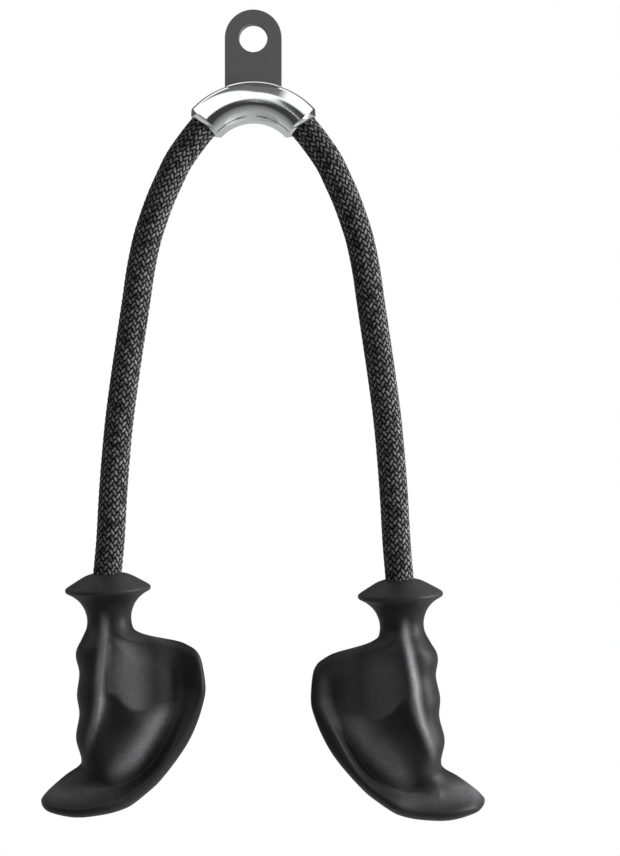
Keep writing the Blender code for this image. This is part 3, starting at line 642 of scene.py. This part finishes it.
def plate_finish():
    """Satin dark grey coating on steel: a fine orange peel and a faintly uneven tone."""
    finish = new_finish("grey_coating")
    place = finish.object_place()
    peel = finish.noise(place, 1400.0, 2.0, 0.5)
    cloud = finish.noise(place, 70.0, 3.0, 0.5)
    colour = finish.colours(cloud, (0.100, 0.102, 0.100), (0.126, 0.124, 0.126))
    relief = finish.bump(peel, 0.06 * MM, 0.5)
    return finish.shade(Base_Color=colour, Roughness=0.42 + 0.1 * cloud, Normal=relief)


dress(plate, plate_finish(), "hanger", "plate_coat", "hanger_tab")


# Grips
# Each is one moulding of black rubber that turns on the rope's end: a round collar, a stem with finger
# grooves on one side, a scooped wing for the ball of the thumb on the other, and a shelf under the heel of
# the hand. Its points are given by a, how far palmward of the rope they lie, and b, how far below the
# collar's rim.
GRIP_DROP = 130.5 * MM
WING_REACH = 54.9 * MM
SHELF_REACH = 44.1 * MM
FINGER_REACH = 20.5 * MM
COLLAR_RADIUS = 24.9 * MM
NECK_RADIUS = 12.8 * MM
NECK_DROP = 19.0 * MM
NECK_BLEND = 20.0 * MM
STEM_FRONT = 17.5 * MM
STEM_BACK = 16.0 * MM
STEM_ROUND = 18.0 * MM
WING_BACK = 10.5 * MM
BACK_ROUND = 22.0 * MM
SHELF_FRONT = 28.0 * MM
SHELF_BACK = 22.0 * MM
SHELF_ROUND = 26.0 * MM
SHELF_TOP_DROP = 99.0 * MM
SHELF_EDGE_DROP = 118.0 * MM
PALM_BLEND = 14.0 * MM
RIDGE_RISE = 2.1 * MM
RIDGE_WIDTH = 4.3 * MM
RIDGE_SHARPNESS = 1.2
RIDGE_TOP_DROP = 17.0 * MM
RIDGE_FADE_DROP = 62.0 * MM
LIP_SHARE = 0.4
LIP_SPREAD = 3.2
GROOVE_BESIDE_RIDGE = 0.25 * MM
THUMB_FALL = 10.5 * MM
THUMB_REACH = 27.0 * MM
WING_FALL = 4.6 * MM
SCOOP_REACH = 40.0 * MM
PAD_EDGE = 3.8 * MM
PAD_EDGE_SOFT = 17.0 * MM
HEEL_FRONT = 14.6 * MM
HEEL_GROWTH = 3.8 * MM
HEEL_TOP_DROP = 76.0 * MM
HEEL_FULL_DROP = 101.0 * MM
HEEL_FLANK = 20.0 * MM
CREASE_STEM_FRONT = 14.2 * MM
CREASE_WING_FRONT = 6.0 * MM
RIM_SET_FORWARD = 6.0 * MM
RIM_BAND = 3.0 * MM
RIM_BULGE = 4.8 * MM
RIM_BULGE_DROP = 80.0 * MM
RIM_BULGE_HEIGHT = 15.0 * MM
RIM_LOW_BAND = 5.9 * MM
RIM_TOP_WALL = 5.0 * MM
RIM_WALL = 12.0 * MM
RIM_LOW_WALL = 4.5 * MM
RIM_TOP_DROP = 22.0 * MM
RIM_FULL_DROP = 44.0 * MM
RIM_LOW_DROP = 62.0 * MM
CREST_TOP = 8.0 * MM
CREST_GROWTH = 4.0
SHELF_BELLY = 8.6 * MM
SHELF_SLOPE = 9.5 * MM
GROOVE_PITCH = 24.0 * MM
GROOVE_DEPTH = 0.8 * MM
FIRST_BUMP_DROP = 38.0 * MM
GRIP_COLUMNS = 92
CREST_COLUMN = 20
FOOT_COLUMN = 36
RIDGE_COLUMN = 64
RIDGE_COLUMN_SPAN = (0.5, 0.85)
COLUMN_PAIR_SHARE = 0.6
GRIP_ROWS = 210
LINE_SAMPLES = 400
SMOOTHING_PASSES = 8
STATION_PULL = 8.0 * MM
COLLAR_STEPS = 5

# Pebbled places with painted highlight: how strong each is, from 0 to 1, where its middle lies and how wide
# it is.
RIDGE_PEBBLE_SHEEN_SHIFT = RIDGE_WIDTH / 6
RIDGE_PEBBLE_SHEEN_WIDTH = RIDGE_WIDTH / 1.9
THUMB_PEBBLE_SHEEN = 0.23
THUMB_PEBBLE_SHEEN_REACH = THUMB_REACH / 2.2
THUMB_PEBBLE_SHEEN_WIDTH = THUMB_REACH / 2
WING_PEBBLE_SHEEN = 0.10
WING_PEBBLE_SHEEN_REACH = 1.15 * THUMB_REACH
WING_PEBBLE_SHEEN_WIDTH = THUMB_REACH / 3
HEEL_PEBBLE_SHEEN = 0.5
HEEL_PEBBLE_SHEEN_IN = 1.05 * HEEL_FLANK
HEEL_PEBBLE_SHEEN_WIDTH = HEEL_FLANK / 2.6
SHELF_PEBBLE_SHEEN = 0.26
SHELF_PEBBLE_SHEEN_DROP = 0.97 * SHELF_EDGE_DROP
SHELF_PEBBLE_SHEEN_WIDTH = SHELF_BELLY / 2
COLLAR_PEBBLE_SHEEN = 0.05
COLLAR_PEBBLE_SHEEN_DROP = NECK_DROP / 3
BACK_PEBBLE_SHEEN = 0.05

# Lines on the grip as (across, down) shares, of the reach on that side and of GRIP_DROP. The dome's are of
# COLLAR_RADIUS and COLLAR_RISE, and the flare's of COLLAR_RADIUS and NECK_DROP.
RIM_OUTLINE_SHARES = [
    (0.242, 0.167), (0.271, 0.191), (0.406, 0.215), (0.723, 0.243), (0.849, 0.267), (0.920, 0.290),
    (0.969, 0.336), (1.000, 0.448), (0.973, 0.515), (0.902, 0.602), (0.798, 0.690), (0.650, 0.777),
    (0.474, 0.863), (0.352, 0.906), (0.220, 0.948), (0.124, 0.969), (-0.086, 0.990), (-0.472, 1.000),
    (-0.825, 0.978), (-0.955, 0.954), (-1.000, 0.928),
]  # fmt: skip
FINGER_OUTLINE_SHARES = [
    (0.663, 0.176), (0.820, 0.225), (0.956, 0.264), (0.985, 0.303), (0.907, 0.371), (1.000, 0.467),
    (0.951, 0.552), (1.073, 0.655), (0.946, 0.743), (1.015, 0.782),
]  # fmt: skip
SHELF_OUTLINE_SHARES = [(0.662, 0.824), (0.893, 0.887), (1.000, 0.928)]
RIDGE_SHARES = [
    (-0.03, 0.19), (-0.10, 0.28), (-0.19, 0.38), (-0.22, 0.47), (-0.33, 0.55), (-0.46, 0.61), (-0.60, 0.68),
    (-0.70, 0.75), (-0.80, 0.82),
]  # fmt: skip
PAD_EDGE_SHARES = [
    (-0.20, 0.43), (0.04, 0.465), (0.15, 0.515), (0.26, 0.545), (0.38, 0.552), (0.52, 0.53), (0.68, 0.505),
    (0.85, 0.49),
]  # fmt: skip
DOME_SHARES = [
    (0.385, 1.0), (0.53, 0.87), (0.70, 0.60), (0.86, 0.33), (0.95, 0.17), (0.99, 0.07), (1.0, -0.05)
]  # fmt: skip
FLARE_SHARES = [
    (0.98, 0.09), (0.87, 0.165), (0.74, 0.29), (0.65, 0.42), (0.585, 0.56), (0.54, 0.72), (0.518, 0.86)
]  # fmt: skip
CORE_BORE = 8.4 * MM
CORE_RADIUS = 10.2 * MM
CORE_TOP_COVER = 3.2 * MM
POCKET_DROP = GRIP_DROP - 32.5 * MM
POCKET_RADIUS = 12.0 * MM
BORE_SIDES = 64


def smooth01(x):
    x = np.clip(x, 0.0, 1.0)
    return x * x * (3.0 - 2.0 * x)


def bell(x):
    return np.exp(-x * x)


def mix(a, b, share):
    return a + (b - a) * share


def rim_outline():
    """The outline from the neck over the wing and round the base to the shelf's tip, as (palmward, drop)."""
    points = [(NECK_RADIUS, NECK_DROP)]
    for reach, drop in RIM_OUTLINE_SHARES:
        points.append((reach * (WING_REACH if reach > 0 else SHELF_REACH), drop * GRIP_DROP))
    return smooth_curve(points)


def finger_outline():
    """The outline down the finger side, from the neck to the shelf's tip."""
    points = [(-NECK_RADIUS, NECK_DROP)]
    points += [(-reach * FINGER_REACH, drop * GRIP_DROP) for reach, drop in FINGER_OUTLINE_SHARES]
    points += [(-reach * SHELF_REACH, drop * GRIP_DROP) for reach, drop in SHELF_OUTLINE_SHARES]
    return smooth_curve(points)


def out_of_neck(a, b):
    """How far the round neck has passed into the palm side's relief, from 0 to 1."""
    return np.maximum(smooth01((b - NECK_DROP) / PALM_BLEND), smooth01(a / NECK_RADIUS - 1.0))


def line_at(shares, across, down, drops):
    """How far palmward a line given by shares of (across, down) lies at the given drops."""
    line = smooth_curve(np.array(shares) * (across, down))
    return np.interp(drops, line[:, 1], line[:, 0])


def ridge_distance(a, b):
    """How far palmward of the ridge's line a point lies."""
    return a - line_at(RIDGE_SHARES, FINGER_REACH, GRIP_DROP, b)


def below_pad_edge(a, b):
    """How far below the lower edge of the thumb's pad a point lies."""
    edge = smooth_curve(np.array(PAD_EDGE_SHARES) * (WING_REACH, GRIP_DROP))
    return b - np.interp(a, edge[:, 0], edge[:, 1])


def palm_floor(a, b, rim_in):
    """How far the palm side stands in front of the rope's plane, inside its rim."""
    past_ridge = ridge_distance(a, b)
    thumb = STEM_FRONT - THUMB_FALL * smooth01(a / THUMB_REACH)
    thumb -= WING_FALL * smooth01((a - THUMB_REACH) / (SCOOP_REACH - THUMB_REACH))

    band, slope = rim_shape(a, b)
    crease = mix(CREASE_STEM_FRONT, CREASE_WING_FRONT, smooth01((a - NECK_RADIUS / 2) / THUMB_REACH))
    heel = HEEL_FRONT + HEEL_GROWTH * smooth01((b - HEEL_TOP_DROP) / (HEEL_FULL_DROP - HEEL_TOP_DROP))
    heel = mix(crease, heel, smooth01((rim_in - band - slope) / HEEL_FLANK))
    spread = smooth01((b - RIDGE_FADE_DROP) / (SHELF_TOP_DROP - RIDGE_FADE_DROP))
    lip = RIDGE_WIDTH * mix(1.0, LIP_SPREAD, spread)
    heel = mix(heel, STEM_FRONT, smooth01(1.0 - past_ridge / lip))

    softness = mix(PAD_EDGE, PAD_EDGE_SOFT, smooth01(a / THUMB_REACH))
    front = mix(thumb, heel, smooth01(below_pad_edge(a, b) / softness + 0.5))

    fade = mix(1.0, LIP_SHARE, smooth01((b - RIDGE_FADE_DROP) / NECK_BLEND))
    span = smooth01((b - RIDGE_TOP_DROP) / NECK_BLEND) * smooth01((SHELF_TOP_DROP - b) / NECK_BLEND)
    ridge = np.maximum(0.0, 1.0 - (past_ridge / RIDGE_WIDTH) ** 2) ** RIDGE_SHARPNESS
    front += RIDGE_RISE * ridge * fade * span
    front -= GROOVE_BESIDE_RIDGE * bell((past_ridge + RIDGE_WIDTH) / (RIDGE_WIDTH / 3)) * span
    return mix(NECK_RADIUS, front, out_of_neck(a, b))


def rim_shape(a, b):
    """How far in from the rim's outline its crest stands, and how wide the wall inside the crest is."""
    shelf = smooth01((b - SHELF_TOP_DROP) / (SHELF_EDGE_DROP - SHELF_TOP_DROP))
    lower = smooth01((b - RIM_LOW_DROP) / (RIM_BULGE_DROP - RIM_LOW_DROP))
    band = mix(RIM_BAND, RIM_LOW_BAND, lower)
    band += (RIM_BULGE - RIM_LOW_BAND / 2) * bell((b - RIM_BULGE_DROP) / RIM_BULGE_HEIGHT)
    band = mix(NECK_RADIUS, mix(band, SHELF_BELLY, shelf), out_of_neck(a, b))
    slope = mix(RIM_TOP_WALL, RIM_WALL, smooth01((b - RIM_TOP_DROP) / (RIM_FULL_DROP - RIM_TOP_DROP)))
    slope = mix(slope, RIM_LOW_WALL, lower)
    slope = mix(slope, SHELF_SLOPE, shelf * smooth01((WING_REACH / 2 - a) / SHELF_REACH))
    return band, slope


def grip_faces(a, b, finger_in, rim_in):
    """The grip's front and back (y) at points finger_in from its finger side and rim_in from its rim."""
    below_neck = smooth01((b - NECK_DROP) / NECK_BLEND)
    wing = smooth01((a - NECK_RADIUS / 2) / (WING_REACH - NECK_RADIUS / 2))
    shelf = smooth01((b - SHELF_TOP_DROP) / (SHELF_EDGE_DROP - SHELF_TOP_DROP))
    edge = -RIM_SET_FORWARD * wing
    band, slope = rim_shape(a, b)

    floor = palm_floor(a, b, rim_in)
    crest = CREST_TOP + (SHELF_FRONT - CREST_TOP) * np.clip(b / SHELF_EDGE_DROP, 0.0, 1.0) ** CREST_GROWTH
    crest = mix(floor, crest, smooth01((b - RIM_TOP_DROP) / (RIM_FULL_DROP - RIM_TOP_DROP)))
    front = mix(crest, floor, smooth01((rim_in - band) / slope))
    finger_round = mix(mix(NECK_RADIUS, STEM_ROUND, below_neck), SHELF_ROUND, shelf)
    ends = round_end(finger_in / finger_round)
    front_y = edge + (-front - edge) * round_end(rim_in / band) * ends

    groove = GROOVE_DEPTH * (0.5 - 0.5 * np.cos(math.tau * (b - FIRST_BUMP_DROP) / GROOVE_PITCH))
    back = mix(NECK_RADIUS, STEM_BACK - groove * (1.0 - wing), below_neck)
    back = mix(back, WING_BACK, wing * below_neck)
    back = mix(back, SHELF_BACK, shelf * (1.0 - wing))
    back_round = mix(NECK_RADIUS, BACK_ROUND, below_neck)
    back_y = edge + (back - edge) * round_end(rim_in / back_round) * ends
    return front_y, back_y


def bend_stations(curve, count):
    """Distances along a curve, closer together where it bends."""
    run = np.diff(curve, axis=0)
    heading = np.unwrap(np.arctan2(run[:, 1], run[:, 0]))
    turning = np.concatenate([[0.0], np.cumsum(np.abs(np.diff(heading, prepend=heading[0])))])
    lengths = arc_lengths(curve)
    pulled = lengths + STATION_PULL * turning
    return np.interp(np.linspace(0.0, pulled[-1], count), pulled, lengths)


def section_shares(rim_point, finger_point, rim):
    """Where the columns lie along a section of the grip, from its rim (0) to its finger side (1). One column
    each follows the rim's crest, the foot of the wall inside the crest, and the ridge."""
    fine = np.linspace(0.0, 1.0, LINE_SAMPLES)
    a, b = rim_point[:, None] + (finger_point - rim_point)[:, None] * fine
    rim_in = distance_to(rim, a, b)
    band, slope = rim_shape(a, b)
    ridge = np.clip(fine[np.argmax(ridge_distance(a, b) < 0.0)], *RIDGE_COLUMN_SPAN)
    crest = min(fine[np.argmax(rim_in >= band)] or 1.0, ridge * COLUMN_PAIR_SHARE)
    foot = min(fine[np.argmax(rim_in >= band + slope)] or 1.0, mix(crest, ridge, COLUMN_PAIR_SHARE))
    column = np.arange(GRIP_COLUMNS + 1)
    outer = 1.0 - np.cos(math.pi / 2 * np.clip(column / CREST_COLUMN, 0.0, 1.0))
    wall = np.clip((column - CREST_COLUMN) / (FOOT_COLUMN - CREST_COLUMN), 0.0, 1.0)
    palm = np.clip((column - FOOT_COLUMN) / (RIDGE_COLUMN - FOOT_COLUMN), 0.0, 1.0)
    finger = np.clip((column - RIDGE_COLUMN) / (GRIP_COLUMNS - RIDGE_COLUMN), 0.0, 1.0)
    finger = np.sin(math.pi / 2 * finger)
    return crest * outer + (foot - crest) * wall + (ridge - foot) * palm + (1.0 - ridge) * finger


def grip_rings():
    """The grip's skin as rings of points in the handle's own frame: palm side towards +X, rim at Z 0."""
    collar = [(radius * COLLAR_RADIUS, rise * COLLAR_RISE) for radius, rise in DOME_SHARES]
    collar += [(radius * COLLAR_RADIUS, -drop * NECK_DROP) for radius, drop in FLARE_SHARES]
    collar.append((NECK_RADIUS, -NECK_DROP))
    rim, finger = rim_outline(), finger_outline()
    rim_points = read_curve(rim, bend_stations(rim, GRIP_ROWS + 1))
    finger_points = read_curve(finger, bend_stations(finger, GRIP_ROWS + 1))
    rings = []
    half_turn = np.arccos(1.0 - 2.0 * section_shares(rim_points[0], finger_points[0], rim))
    turn = np.concatenate([half_turn, -half_turn[-2:0:-1]])
    for radius, height in smooth_curve(collar, COLLAR_STEPS)[:-1]:
        rings.append(np.stack([radius * np.cos(turn), -radius * np.sin(turn), 0 * turn + height], axis=1))
    for rim_point, finger_point in zip(rim_points, finger_points):
        shares = section_shares(rim_point, finger_point, rim)
        a, b = rim_point[:, None] + (finger_point - rim_point)[:, None] * shares
        finger_in = np.linalg.norm(finger_point - rim_point) * (1.0 - shares)
        front, back = grip_faces(a, b, finger_in, distance_to(rim, a, b))
        front_side = np.stack([a, front, -b], axis=1)
        back_side = np.stack([a, back, -b], axis=1)
        rings.append(np.concatenate([front_side, back_side[-2:0:-1]]))
    return np.array(rings)


grip_skin = grip_rings()


def pebble_sheen_share(a, b, y):
    """How pebbled each point of the grip is, and how much painted highlight its colour gets, from 0 to 1."""
    ridge = bell((ridge_distance(a, b) + RIDGE_PEBBLE_SHEEN_SHIFT) / RIDGE_PEBBLE_SHEEN_WIDTH)
    ridge *= smooth01((b - RIDGE_TOP_DROP + PALM_BLEND / 2) / PALM_BLEND)
    ridge *= smooth01((HEEL_FULL_DROP - b) / (2 * NECK_BLEND))
    above = smooth01(-below_pad_edge(a, b) / PAD_EDGE)
    thumb = THUMB_PEBBLE_SHEEN * bell((a - THUMB_PEBBLE_SHEEN_REACH) / THUMB_PEBBLE_SHEEN_WIDTH) * above
    thumb *= smooth01((b - RIM_TOP_DROP) / NECK_BLEND)
    wing = WING_PEBBLE_SHEEN * bell((a - WING_PEBBLE_SHEEN_REACH) / WING_PEBBLE_SHEEN_WIDTH) * above
    rim_in = distance_to(rim_outline(), a, b)
    heel = HEEL_PEBBLE_SHEEN * bell((rim_in - HEEL_PEBBLE_SHEEN_IN) / HEEL_PEBBLE_SHEEN_WIDTH)
    heel *= smooth01((b - HEEL_TOP_DROP + PALM_BLEND) / PALM_BLEND)
    heel *= smooth01((a + NECK_RADIUS / 2) / NECK_RADIUS)
    shelf = SHELF_PEBBLE_SHEEN * bell((b - SHELF_PEBBLE_SHEEN_DROP) / SHELF_PEBBLE_SHEEN_WIDTH)
    shelf *= smooth01((NECK_RADIUS - a) / NECK_RADIUS)
    collar = COLLAR_PEBBLE_SHEEN * smooth01(1.0 - b / COLLAR_PEBBLE_SHEEN_DROP)
    # Painted highlights on the ridge, thumb pad, wing, heel, shelf top and collar, and faintly on the back.
    palm = np.maximum.reduce([ridge, thumb, wing, heel, shelf, collar])
    return mix(palm, BACK_PEBBLE_SHEEN, smooth01(y / PALM_BLEND))


def moulded_grip(name, side, out, drop, turn):
    """One grip in its place, bored for the core tube and the rope."""
    rings = grip_skin * (-side, 1, 1)

    def place(around, along):
        ring = np.rint(along * (len(rings) - 1)).astype(int)
        return rings[ring, np.rint(around * 2 * GRIP_COLUMNS).astype(int) % (2 * GRIP_COLUMNS)]

    bm = bmesh.new()
    place_grid(bm, 2 * GRIP_COLUMNS, len(rings) - 1, place)
    # Each point's share of pebbled grain and painted highlight, read by the rubber's finish.
    bearing = bm.verts.layers.float.new("bearing")
    points = np.array([v.co for v in bm.verts])
    for vert, share in zip(bm.verts, pebble_sheen_share(-side * points[:, 0], -points[:, 2], points[:, 1])):
        vert[bearing] = share
    bmesh.ops.remove_doubles(bm, verts=bm.verts, dist=WELD)
    inner = [v for v in bm.verts if not v.is_boundary]
    for _ in range(SMOOTHING_PASSES):
        bmesh.ops.smooth_vert(bm, verts=inner, factor=0.5, use_axis_x=True, use_axis_y=True, use_axis_z=True)
    standing = Matrix.Translation((side * out, 0.0, -drop)) @ Matrix.Rotation(-turn, 4, "Y")
    grip = finish_mesh(bm, name, math.radians(80))
    grip.data.transform(standing)
    core_top = COLLAR_RISE - CORE_TOP_COVER + SEAT_GAP
    bore_mesh = turned([
        (0, COLLAR_RISE + OVERRUN),
        (CORE_BORE, COLLAR_RISE + OVERRUN),
        (CORE_BORE, core_top),
        (CORE_RADIUS + SEAT_GAP, core_top),
        (CORE_RADIUS + SEAT_GAP, -POCKET_DROP),
        (POCKET_RADIUS, -POCKET_DROP),
        (POCKET_RADIUS, -GRIP_DROP - OVERRUN),
        (0, -GRIP_DROP - OVERRUN),
    ], BORE_SIDES)  # fmt: skip
    bore = finish_mesh(bore_mesh, f"{name}_bore", math.radians(30))
    bore.data.transform(standing)
    cut(grip, bore)
    grip.data.shade_smooth()
    grip.data.set_sharp_from_angle(angle=math.radians(70))
    return grip


def rubber_finish():
    """Black moulded rubber: dark and smooth in the hollows, pebbled with painted grey highlight where the
    hand bears.
    """
    finish = new_finish("moulded_rubber")
    place = finish.object_place()
    bearing = finish.node("ShaderNodeAttribute", {"attribute_name": "bearing"}, {}, "Fac")
    pebbles = finish.noise(place, 620.0, 3.0, 0.6)
    waves = finish.noise(place, 90.0, 3.0, 0.5)
    # Painted highlight: the colour is lifted to grey where the share is high, leaving the hollows near black.
    painted_sheen = bearing * (0.3 + 0.4 * waves + pebbles)
    colour = finish.colours(painted_sheen, (0.010, 0.010, 0.0105), (0.24, 0.239, 0.246))
    relief = finish.bump(pebbles * (0.15 + 0.85 * bearing), 0.3 * MM, 0.6)
    roughness = 0.44 + 0.10 * waves + 0.12 * bearing
    return finish.shade(Base_Color=colour, Roughness=roughness, Normal=relief, IOR=1.3)


grip_black = rubber_finish()
for name, place in HANDLES.items():
    grip = moulded_grip(f"{name}_moulded_grip", *place)
    dress(grip, grip_black, f"{name}_handle", "grip_rubber", f"{name}_grip")


# Pieces inside the grips
# A nylon tube that the grip turns on, a zinc-plated washer and a crimped ferrule that keep the rope in it,
# and a rubber plug that closes the bottom.
def plain_finish(name, low, high, roughness, metallic=0.0, grain=800.0):
    """A plain workshop finish: a slightly uneven colour and a fine grain."""
    finish = new_finish(name)
    place = finish.object_place()
    mottle = finish.noise(place, 200.0, 3.0, 0.5)
    fine = finish.noise(place, grain, 2.0, 0.5)
    relief = finish.bump(fine, 0.05 * MM, 0.4)
    return finish.shade(
        Base_Color=finish.colours(mottle, low, high), Roughness=roughness + 0.1 * mottle, Metallic=metallic,
        Normal=relief,
    )  # fmt: skip


inner_finishes = {
    "core_tube": plain_finish("natural_nylon", (0.52, 0.52, 0.49), (0.62, 0.62, 0.59), 0.35),
    "washer": plain_finish("zinc_plate", (0.50, 0.51, 0.53), (0.64, 0.65, 0.67), 0.25, 1.0),
    "ferrule": plain_finish("zinc_crimp", (0.50, 0.51, 0.53), (0.64, 0.65, 0.67), 0.3, 1.0),
    "plug": plain_finish("plug_rubber_skin", (0.02, 0.02, 0.021), (0.032, 0.032, 0.034), 0.5, 0.0, 1500.0),
}
for name in HANDLES:
    for part, material in inner_finishes.items():
        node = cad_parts[f"{name}_{part}"]
        for slot in node.material_slots:
            slot.material = material


# Studio
# A white surround and a pale round floor well below the grips, with two soft lamps on the right, one a little
# in front and one a little behind, and a weak one above. A lamp's values are its name, place, size, power
# and whether polished surfaces mirror it.
FLOOR_Z = -0.60
FLOOR_RADIUS = 0.42
FLOOR_SIDES = 96
MIDDLE = Vector((0.0, 0.0, -0.30))
LAMPS = [
    ("key_lamp", (1.0, -0.22, -0.14), (0.30, 0.75), 15.5, True),
    ("side_lamp", (0.90, 0.30, -0.10), (0.30, 0.70), 12.0, False),
    ("top_lamp", (0.0, 0.35, 0.75), (0.50, 0.40), 6.0, False),
]

floor_mesh = bmesh.new()
bmesh.ops.create_circle(floor_mesh, cap_ends=True, segments=FLOOR_SIDES, radius=FLOOR_RADIUS)
bmesh.ops.translate(floor_mesh, verts=floor_mesh.verts, vec=(0, 0, FLOOR_Z))
floor_data = bpy.data.meshes.new("pale_floor")
floor_mesh.to_mesh(floor_data)
floor_mesh.free()
floor = bpy.data.objects.new("pale_floor", floor_data)
scene.collection.objects.link(floor)
floor_paint = new_finish("pale_floor_paint")
in_mirrors = floor_paint.node("ShaderNodeLightPath", {}, {}, "Is Glossy Ray")
floor_colour = floor_paint.colours(in_mirrors, (0.82, 0.82, 0.82), (0.34, 0.34, 0.34))
floor.data.materials.append(floor_paint.shade(Base_Color=floor_colour, Roughness=0.7))

for name, place, size, power, mirrored in LAMPS:
    light = bpy.data.lights.new(name, "AREA")
    light.shape = "RECTANGLE"
    light.size, light.size_y = size
    light.energy = power
    lamp = bpy.data.objects.new(name, light)
    lamp.location = place
    lamp.visible_glossy = mirrored
    lamp.rotation_euler = (MIDDLE - Vector(place)).to_track_quat("-Z", "Y").to_euler()
    scene.collection.objects.link(lamp)

# Reflections
# What polished and rubbed surfaces mirror. Heights run from 0 at the horizon behind the object, down under it
# to 0.5 at the horizon behind the camera, and on over the top to 1. The surround is a pale floor, a dark room
# behind the camera and white above it. A dark flag on the right makes the room reach higher there: FLAG_EDGE
# is where its slanting side starts and ends, and its foot carries on along the horizon. A grey ceiling hangs
# over the camera, shorter towards the left, and a darker strip behind the object outlines the polished metal.
LEVEL = 0.465
FLAG_RISE = 0.115
FLAG_FOOT = 0.14
FLAG_SIDE = 0.02
FLAG_EDGE = (0.035, 0.060)
FOOT_EDGE = (-0.040, -0.012)
FOOT_TOP = (0.530, 0.550)
CEILING_FRONT = (0.63, 0.655)
CEILING_TAPER = 1.5
OUTLINE = (0.86, 0.885)
CEILING_BACK = (0.81, 0.83)
CEILING_SIDE = (0.050, 0.072)
REFLECTED_GREYS = [
    (0.00, 0.50), (0.15, 0.52), (0.25, 0.62), (0.34, 0.42), (0.425, 0.17), (0.445, 0.045), (0.48, 0.05),
    (0.508, 1.2),
]  # fmt: skip

surround = scene.world or bpy.data.worlds.new("surround")
scene.world = surround
world = Finish(surround)
direction = world.node("ShaderNodeTexCoord", {}, {}, "Generated")
split = world.node("ShaderNodeSeparateXYZ", {}, {"Vector": direction})
towards_right, towards_back, upward = split, split.beside("Y"), split.beside("Z")
height = upward.math("ARCTAN2", upward, towards_back * -1.0) / math.tau + 0.5


def rise(value, bounds):
    """How far a value has gone from one bound to the other, eased, from 0 to 1."""
    return world.node(
        "ShaderNodeMapRange", {"interpolation_type": "SMOOTHSTEP"},
        {"Value": value, "From Min": bounds[0], "From Max": bounds[1]},
    )  # fmt: skip


slant = upward.math("ARCTANGENT", (towards_right + FLAG_SIDE) / (upward - FLAG_FOOT)) / math.tau
foot = rise(towards_right, FOOT_EDGE) * (1.0 - rise(height, FOOT_TOP))
above = height - FLAG_RISE * foot.math("MAXIMUM", foot, rise(slant, FLAG_EDGE))
flagged = height.math("MAXIMUM", height.math("MINIMUM", height, LEVEL), above)
leftward = slant.math("MAXIMUM", slant * -1.0, 0.0)
ceiling = rise(height - CEILING_TAPER * leftward, CEILING_FRONT)
ceiling = ceiling * (1.0 - rise(height, CEILING_BACK)) * (1.0 - rise(slant, CEILING_SIDE))
reflected = world.node("ShaderNodeValToRGB", {"stops": [
    (height_share, (grey, grey, grey)) for height_share, grey in REFLECTED_GREYS
]}, {"Fac": flagged})  # fmt: skip
reflected = world.colours(ceiling, reflected, (0.17, 0.17, 0.17))
reflected = world.colours(rise(height, OUTLINE), reflected, (0.10, 0.10, 0.10))
rays = world.node("ShaderNodeLightPath", {}, {}, "Is Camera Ray")
off_camera = world.colours(rays.beside("Is Glossy Ray"), (0.28, 0.28, 0.28), reflected)
seen = world.colours(rays, off_camera, (1.0, 1.0, 1.0))
world.connect(surround.node_tree.nodes["Background"].inputs["Color"], seen)
